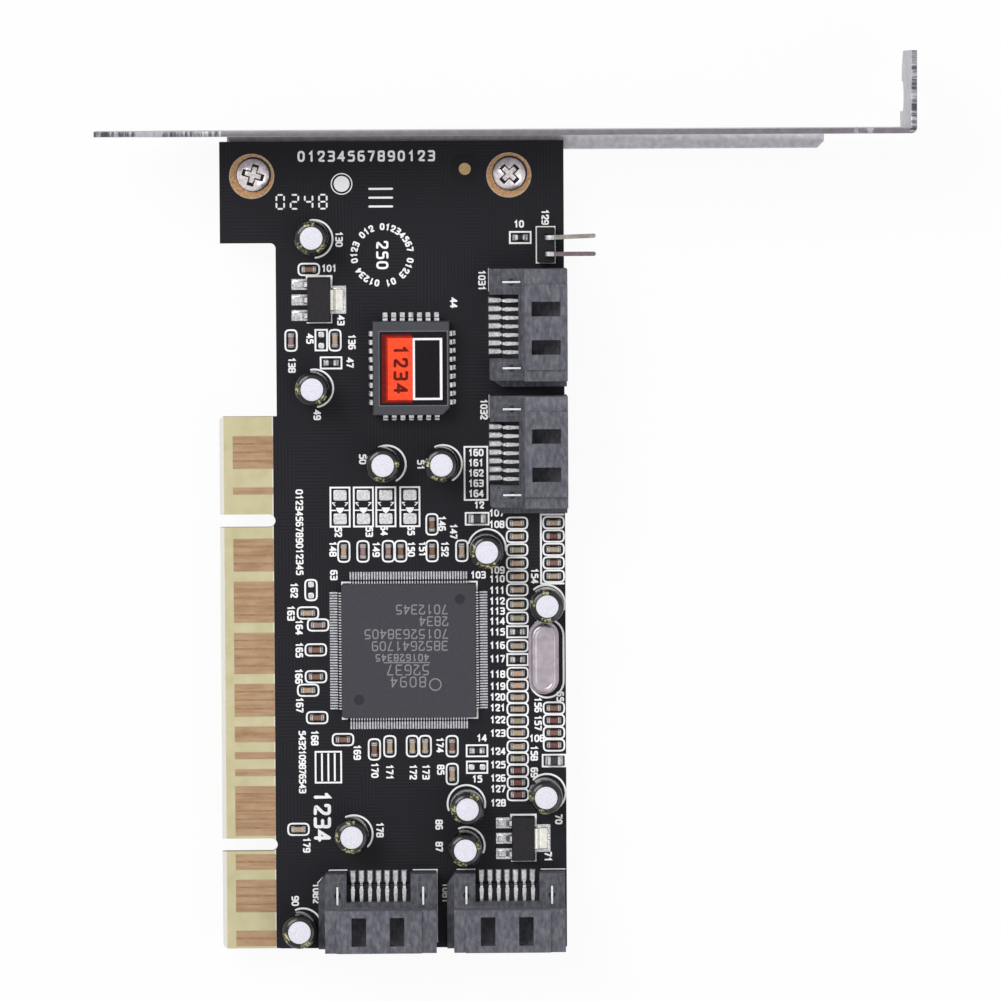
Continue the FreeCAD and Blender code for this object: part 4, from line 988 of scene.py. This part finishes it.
def number(text, x, y, tall=0.88, turn=0, width=PRINT_WIDE, level=None, pitch=None):
    """A row of plain digits about a place, turned by degrees: strokes from the DIGITS boxes."""
    scale = np.array([DIGIT_WIDE / 4, 1 / 6]) * tall
    pitch = pitch or tall * 0.88
    angle = np.radians(turn)
    turning = np.array([[np.cos(angle), -np.sin(angle)], [np.sin(angle), np.cos(angle)]])
    forms = []
    for place, digit in enumerate(text):
        if digit not in DIGITS:
            continue
        radius, strokes = DIGITS[digit]
        left = (place - (len(text) - 1) / 2) * pitch - 2 * scale[0]
        for points, closed in strokes:
            path = rounded(points, radius, closed, 3) if radius else np.array(points, float)
            path = (path * scale + (left, -tall / 2)) @ turning.T + (x, y)
            forms.append(ribbon(path, width, closed, level))
    return forms


def segment_number(text, x, y, tall, pitch, width):
    """A row of digits made of short bars with gaps between them, as on a clock."""
    scale = np.array([0.55 / 4, 1 / 6]) * tall
    forms = []
    for place, digit in enumerate(text):
        left = (place - (len(text) - 1) / 2) * pitch - 2 * scale[0]
        for segment in SEGMENTS[digit]:
            ends = np.array(SEGMENT_ENDS[segment], float) * scale + (x + left, y - tall / 2)
            middle = ends.mean(axis=0)
            forms.append(ribbon(middle + (ends - middle) * 0.52, width))
    return forms


def box_line(left, low, right, high, radius=0.0, width=0.25):
    """A printed frame between two corners."""
    path = rectangle(right - left, high - low, (left + right) / 2, (low + high) / 2, radius)
    return ribbon(path, width, closed=True)


def stepped(forms):
    """Each form a few thousandths of a millimetre off the last, so that no two tops share a plane."""
    return [form.moved(z=index % 7 * 0.003) for index, form in enumerate(forms)]


def chip_outlines():
    """White outlines round the chip parts: round-ended for capacitors, square for the rest."""
    forms = []
    for node, long, wide, radius in (("chip_capacitors", 3.08, 1.7, 0.62),
                                     ("chip_resistors", 3.08, 1.66, 0.0), ("ferrite_beads", 3.4, 1.75, 0.0)):
        for low, high in solids_of(node):
            upright = high[1] - low[1] > high[0] - low[0]
            sizes = (wide, long) if upright else (long, wide)
            path = rectangle(*sizes, *(low + high)[:2] / 2, radius)
            forms.append(ribbon(path, 0.245, closed=True))
    return forms


# Part numbers in print: place and how many digits, read across or turned to read downwards
ACROSS = [(44.5, 67.9, 2), (16.4, 61.5, 3), (38.4, 26.3, 2), (38.2, 15.9, 3), (38.6, -8.4, 2),
          (37.9, -14.5, 2), (46.8, -8.5, 3)]
COLUMN_X = 41.0
COLUMN = [25.1, 23.4, 16.6, 15.3, 13.6, 12.0, 10.5, 9.0, 7.4, 5.4, 3.4, 1.1, -0.7, -2.3, -3.9, -5.7,
          -7.7, -10.4, -12.4, -14.4, -16.0, -18.1]
DOWNWARDS = [(48.4, 68.9, 3), (17.9, 65.8, 3), (39.0, 59.6, 4), (39.2, 40.5, 4), (18.1, 53.8, 2),
             (34.8, 56.3, 2), (13.5, 51.1, 2), (19.7, 50.6, 3), (19.4, 47.5, 2), (10.8, 47.2, 3),
             (14.5, 39.8, 2), (21.2, 33.2, 2), (29.8, 32.3, 2), (17.5, 22.4, 2), (22.1, 22.4, 2),
             (24.3, 22.6, 2), (28.3, 22.6, 2), (32.9, 23.6, 3), (34.6, 22.4, 3), (16.7, 19.9, 3),
             (23.1, 19.8, 3), (28.3, 19.8, 3), (30.0, 19.8, 3), (33.3, 19.8, 3), (16.8, 16.0, 2),
             (46.6, 15.7, 3), (50.3, -2.3, 2), (47.0, -3.5, 3), (47.0, -6.2, 3), (46.4, -10.7, 3),
             (46.4, -13.6, 2), (50.0, -20.6, 2), (48.4, -26.2, 2), (10.9, 13.8, 3), (10.4, 10.4, 3),
             (11.6, 8.3, 3), (11.6, 4.9, 3), (11.5, 1.0, 3), (11.6, -3.3, 3), (13.8, -8.2, 3),
             (20.1, -10.4, 3), (22.7, -13.1, 3), (24.9, -13.4, 3), (28.4, -13.4, 3), (30.3, -13.4, 3),
             (32.4, -9.4, 3), (32.5, -13.1, 2), (32.2, -21.3, 2), (32.2, -24.6, 2), (23.4, -22.0, 3),
             (12.5, -24.2, 3), (10.75, -32.55, 2), (33.15, -31.47, 4), (13.9, -31.4, 4)]


def part_numbers():
    """Plain running numbers beside the parts."""
    labels = [(x, y, digits, 0) for x, y, digits in ACROSS]
    labels += [(COLUMN_X, y, 3, 0) for y in COLUMN]
    labels += [(x, y, digits, -90) for x, y, digits in DOWNWARDS]
    forms = []
    for index, (x, y, digits, turn) in enumerate(labels):
        text = str(10 ** (digits - 1) + index % (9 * 10 ** (digits - 1)))
        forms += number(text, x, y, turn=turn)
    return forms


# Printed arc beside each can: middle, and the angles where it starts and ends
CAN_ARCS = [(14.14, 65.86, 100, -85), (14.09, 43.74, 100, -80), (24.76, 32.4, 115, -60),
            (33.09, 32.42, 115, -60), (39.53, 19.91, 165, -8), (48.27, 11.54, 130, -18),
            (48.24, -16.63, 135, -50), (36.28, -18.21, 200, -12), (36.16, -24.48, 112, -22),
            (19.51, -22.61, 115, -42), (11.85, -36.47, 112, 12)]
CAN_ARC_RADIUS = 2.8
# Boxes for lamps that aren't fitted: middles, and the box's low and high edge
LAMP_BOXES = (17.79, 21.25, 24.57, 28.14)
LAMP_LOW, LAMP_HIGH, LAMP_HALF = 23.2, 29.0, 1.42
# Chip footprints left empty: middle, upright or not, corner radius of the outline
EMPTY_CHIPS = [(15.17, 50.88, True, 0.0), (37.9, -12.75, False, 0.0), (13.4, 13.8, True, 0.62)]


def part_outlines():
    """Frames and arcs round the larger parts."""
    forms = [ribbon(arc(x, y, CAN_ARC_RADIUS, start, end), 0.27) for x, y, start, end in CAN_ARCS]
    for low, high in (span("regulator_1_body"), span("regulator_2_body")):
        left, right, down, up = low[0] - 0.05, high[0] + 0.15, low[1] - 0.1, high[1] + 0.2
        forms += [ribbon([(left, up - 0.3), (left, up), (right, up), (right, up - 1.3)], 0.28),
                  ribbon([(right, down + 1.4), (right, down), (left, down)], 0.16)]
    forms += [box_line(47.07, 62.14, 49.82, 67.48, width=0.18),
              ribbon(stadium(11.7, 5.0) + (48.33, 3.42), 0.28, closed=True)]
    low, high = span("controller_body")
    for x, y, run_x, run_y in ((low[0] + 0.3, high[1], 1.3, -0.7), (high[0], high[1], -1.5, -1.5),
                               (high[0], low[1], -1.3, 1.5), (low[0] + 0.3, low[1], 0.7, 0.7)):
        x, y = x - np.sign(run_x) * 0.15, y - np.sign(run_y) * 0.15
        forms.append(ribbon([(x + run_x, y), (x, y), (x, y + run_y)], 0.24))
    left, right, down, up = 36.27, 39.65, 27.05, 34.93
    forms += [ribbon([(50.9, 24.8), (47.55, 24.8), (47.55, 14.55), (50.9, 14.55)], 0.28),
              box_line(left, down, right, up)]
    for step in range(5):
        forms += number(str(160 + step), (left + right) / 2, up - 0.85 - step * 1.52)
    return forms


def header_lines():
    """Thin print lines along the rear edge of each shell, broken where the contacts come out, and a thin
    white line of painted highlight beside the edge of the first two shells.
    """
    forms = []
    # painted highlight: a thin white line along the edge of the first two shells
    for shell in ("sata_1_shell", "sata_2_shell"):
        low, high = span(shell)
        forms.append(ribbon([(low[0] - 0.05, high[1]), (low[0] - 0.05, high[1] - 3.4)], 0.07))
    for path in ([(14.05, -29.9), (15.9, -27.98), (18.46, -27.98)],
                 [(28.28, -28.0), (31.86, -28.0), (31.86, -38.85)],
                 [(34.82, -28.0), (37.5, -28.0)], [(47.32, -28.05), (50.89, -28.05)]):
        forms.append(ribbon(path, 0.15))
    return forms


def lamp_boxes():
    """Frames with a solid arrowhead between two bare pads, for lamps that aren't fitted."""
    head = np.array([(-0.42, 25.45), (0, 25.12), (0.42, 25.45), (0.62, 26.0), (-0.62, 26.0)])
    forms = []
    for x in LAMP_BOXES:
        forms += [box_line(x - LAMP_HALF, LAMP_LOW, x + LAMP_HALF, LAMP_HIGH),
                  layers(head + (x, 0), [(0, TOP), (0, TOP + PRINT_THICK)])]
        for side in (-1, 1):
            for start, end, width in (((0.6, 25.62), (1.3, 25.62), 0.18), ((0.75, 26.3), (1.15, 26.75), 0.14),
                                      ((0.75, 26.75), (1.15, 26.75), 0.12)):
                forms.append(ribbon(np.array([start, end]) * (side, 1) + (x, 0), width))
    return forms


def plain_marks():
    """Generic marks: rows of plain digits, a ringed disc, digits round a circle and a hatched square."""
    forms = number("01234567890123", 22.0, 78.05, 1.33, 0, 0.31, pitch=1.48)
    forms += segment_number("0248", 12.4, 71.35, 2.05, 2.1, 0.26)
    disc = turned([(0.01, PRINT_THICK), (1.15, PRINT_THICK), (1.17, 0)], 40)
    forms += [disc.moved(18.33, 73.96, TOP), ribbon(arc(18.33, 73.96, 1.52, 0, 350, 35), 0.16, closed=True)]
    middle, radius, circle = np.array([24.28, 63.42]), 4.2, "01234567 0123 01 01234 0123 012 "
    for place, digit in enumerate(circle):
        angle = 90 - place * 360 / len(circle)
        x, y = middle + radius * np.array([np.cos(np.radians(angle)), np.sin(np.radians(angle))])
        forms += number(digit, x, y, 0.8, angle - 90, 0.24)
    forms += number("250", *middle, 1.5, -90, 0.32, pitch=1.5)
    forms += [ribbon([(22.4, up), (25.8, up)], 0.3) for up in (70.6, 71.9, 73.2)]
    forms += number("0123456789012345", 11.75, 22.4, 0.9, -90, 0.22, pitch=0.8)
    forms += number("5432109876543", 11.95, -11.8, 0.86, -90, 0.22, pitch=0.72)
    forms.append(box_line(13.9, -14.9, 17.7, -10.3))
    forms += [ribbon([(x, -14.6), (x, -10.6)], 0.26) for x in (14.85, 15.8, 16.75)]
    forms += number("1234", 14.85, -19.9, 2.1, -90, 0.48, pitch=1.95)
    return forms


def silkscreen():
    """All the white print on the component side, and a painted highlight line, as one piece."""
    forms = chip_outlines() + part_numbers() + part_outlines() + header_lines() + lamp_boxes()
    forms += plain_marks()
    for x, y, upright, radius in EMPTY_CHIPS:
        half_x, half_y = (0.86, 1.52) if upright else (1.52, 0.86)
        forms.append(box_line(x - half_x, y - half_y, x + half_x, y + half_y, radius))
    piece("white_print_and_highlight", stepped(forms), "white_print_and_highlight")


def bare_pads():
    """Tinned pads of the parts that aren't fitted: each a low pillow of solder."""
    pads = [(x, y, 1.95, long) for x in LAMP_BOXES for y, long in ((27.85, 1.56), (24.34, 1.6))]
    pads += [(x, y + side, 0.86, 0.86) if upright else (x + side, y, 0.86, 0.86)
             for x, y, upright, radius in EMPTY_CHIPS for side in (-0.83, 0.83)]
    steps = [(0, 0), (0, 0.03), (-0.06, 0.07), (-0.13, 0.09), (-0.16, 0.09)]
    forms = [layers(rectangle(wide, long, radius=0.3), steps).moved(x, y, TOP) for x, y, wide, long in pads]
    piece("bare_pads", forms, "bare_land_tin")


# Lamps: name, place in metres, size, power
LAMPS = (("key", (-0.5, 0.55, 0.9), 0.6, 8.0), ("fill", (0.7, -0.4, 0.8), 0.8, 2.8))


def stage():
    """Pale floor at the card's lowest point, soft lamps, and the camera of the photograph."""
    low, high = CAD_BOX
    scene = bpy.context.scene
    reach = 3.0
    floor_mesh = bpy.data.meshes.new("floor")
    floor_mesh.from_pydata([(x * reach, y * reach, low.z) for x, y in ((-1, -1), (1, -1), (1, 1), (-1, 1))],
                           [], [(0, 1, 2, 3)])
    floor = bpy.data.objects.new("floor", floor_mesh)
    scene.collection.objects.link(floor)
    floor_mesh.materials.append(pale_floor())
    world = bpy.data.worlds.new("studio")
    scene.world = world
    world.use_nodes = True
    tree = world.node_tree
    strength = wired(tree, "ShaderNodeMix", {0: seen_directly(tree), 2: 0.5, 3: 1.0}).outputs[0]
    for name, source in (("Color", (1, 1, 1, 1)), ("Strength", strength)):
        feed(tree, source, tree.nodes["Background"].inputs[name])
    for name, place, across, power in LAMPS:
        lamp = bpy.data.lights.new(name, "AREA")
        lamp.size = across
        lamp.energy = power
        holder = bpy.data.objects.new(name, lamp)
        holder.location = place
        aim = holder.location - (low + high) / 2
        holder.rotation_euler = aim.to_track_quat("Z", "Y").to_euler()
        scene.collection.objects.link(holder)
    camera = bpy.data.cameras.new("photograph")
    camera.lens = FOCAL / PHOTO_WIDE * SENSOR
    camera.sensor_width = SENSOR
    camera.clip_end = 20
    holder = bpy.data.objects.new("photograph", camera)
    holder.location = (0.02498507, 0.08888247, 1.00492105)
    holder.rotation_euler = (-0.06152, -0.01684, -0.00513)
    scene.collection.objects.link(holder)
    scene.camera = holder
    scene.view_settings.view_transform = "Standard"


def seen_directly(tree):
    """One where a ray comes from the camera, a reflection or a view through glass, else nothing."""
    path = wired(tree, "ShaderNodeLightPath").outputs
    total = path["Is Camera Ray"]
    for kind in ("Is Glossy Ray", "Is Transmission Ray"):
        total = wired(tree, "ShaderNodeMath", {0: total, 1: path[kind]}, operation="MAXIMUM").outputs[0]
    return total


def pale_floor():
    """White paper that keeps a soft shadow: plain paper, mostly covered by its own white as seen."""
    made = Finish("white_paper", (236, 236, 238), 0.9)
    made.relief(made.noise(3.0, 4.0), 0.02, 0.3)
    glow = made.add("ShaderNodeEmission", {"Strength": 1.0}).outputs[0]
    share = made.maths("MULTIPLY", seen_directly(made.tree), 0.93)
    mixed = made.add("ShaderNodeMixShader", {0: share, 1: made.shader.outputs[0], 2: glow}).outputs[0]
    feed(made.tree, mixed, made.tree.nodes["Material Output"].inputs["Surface"])
    return made.material


circuit_board()
bracket_and_screws()
ring_lands()
controller()
flash_chip()
regulators()
crystal()
pin_header()
sata_headers()
capacitors()
chip_parts()
lead_ends()
silkscreen()
bare_pads()
stage()
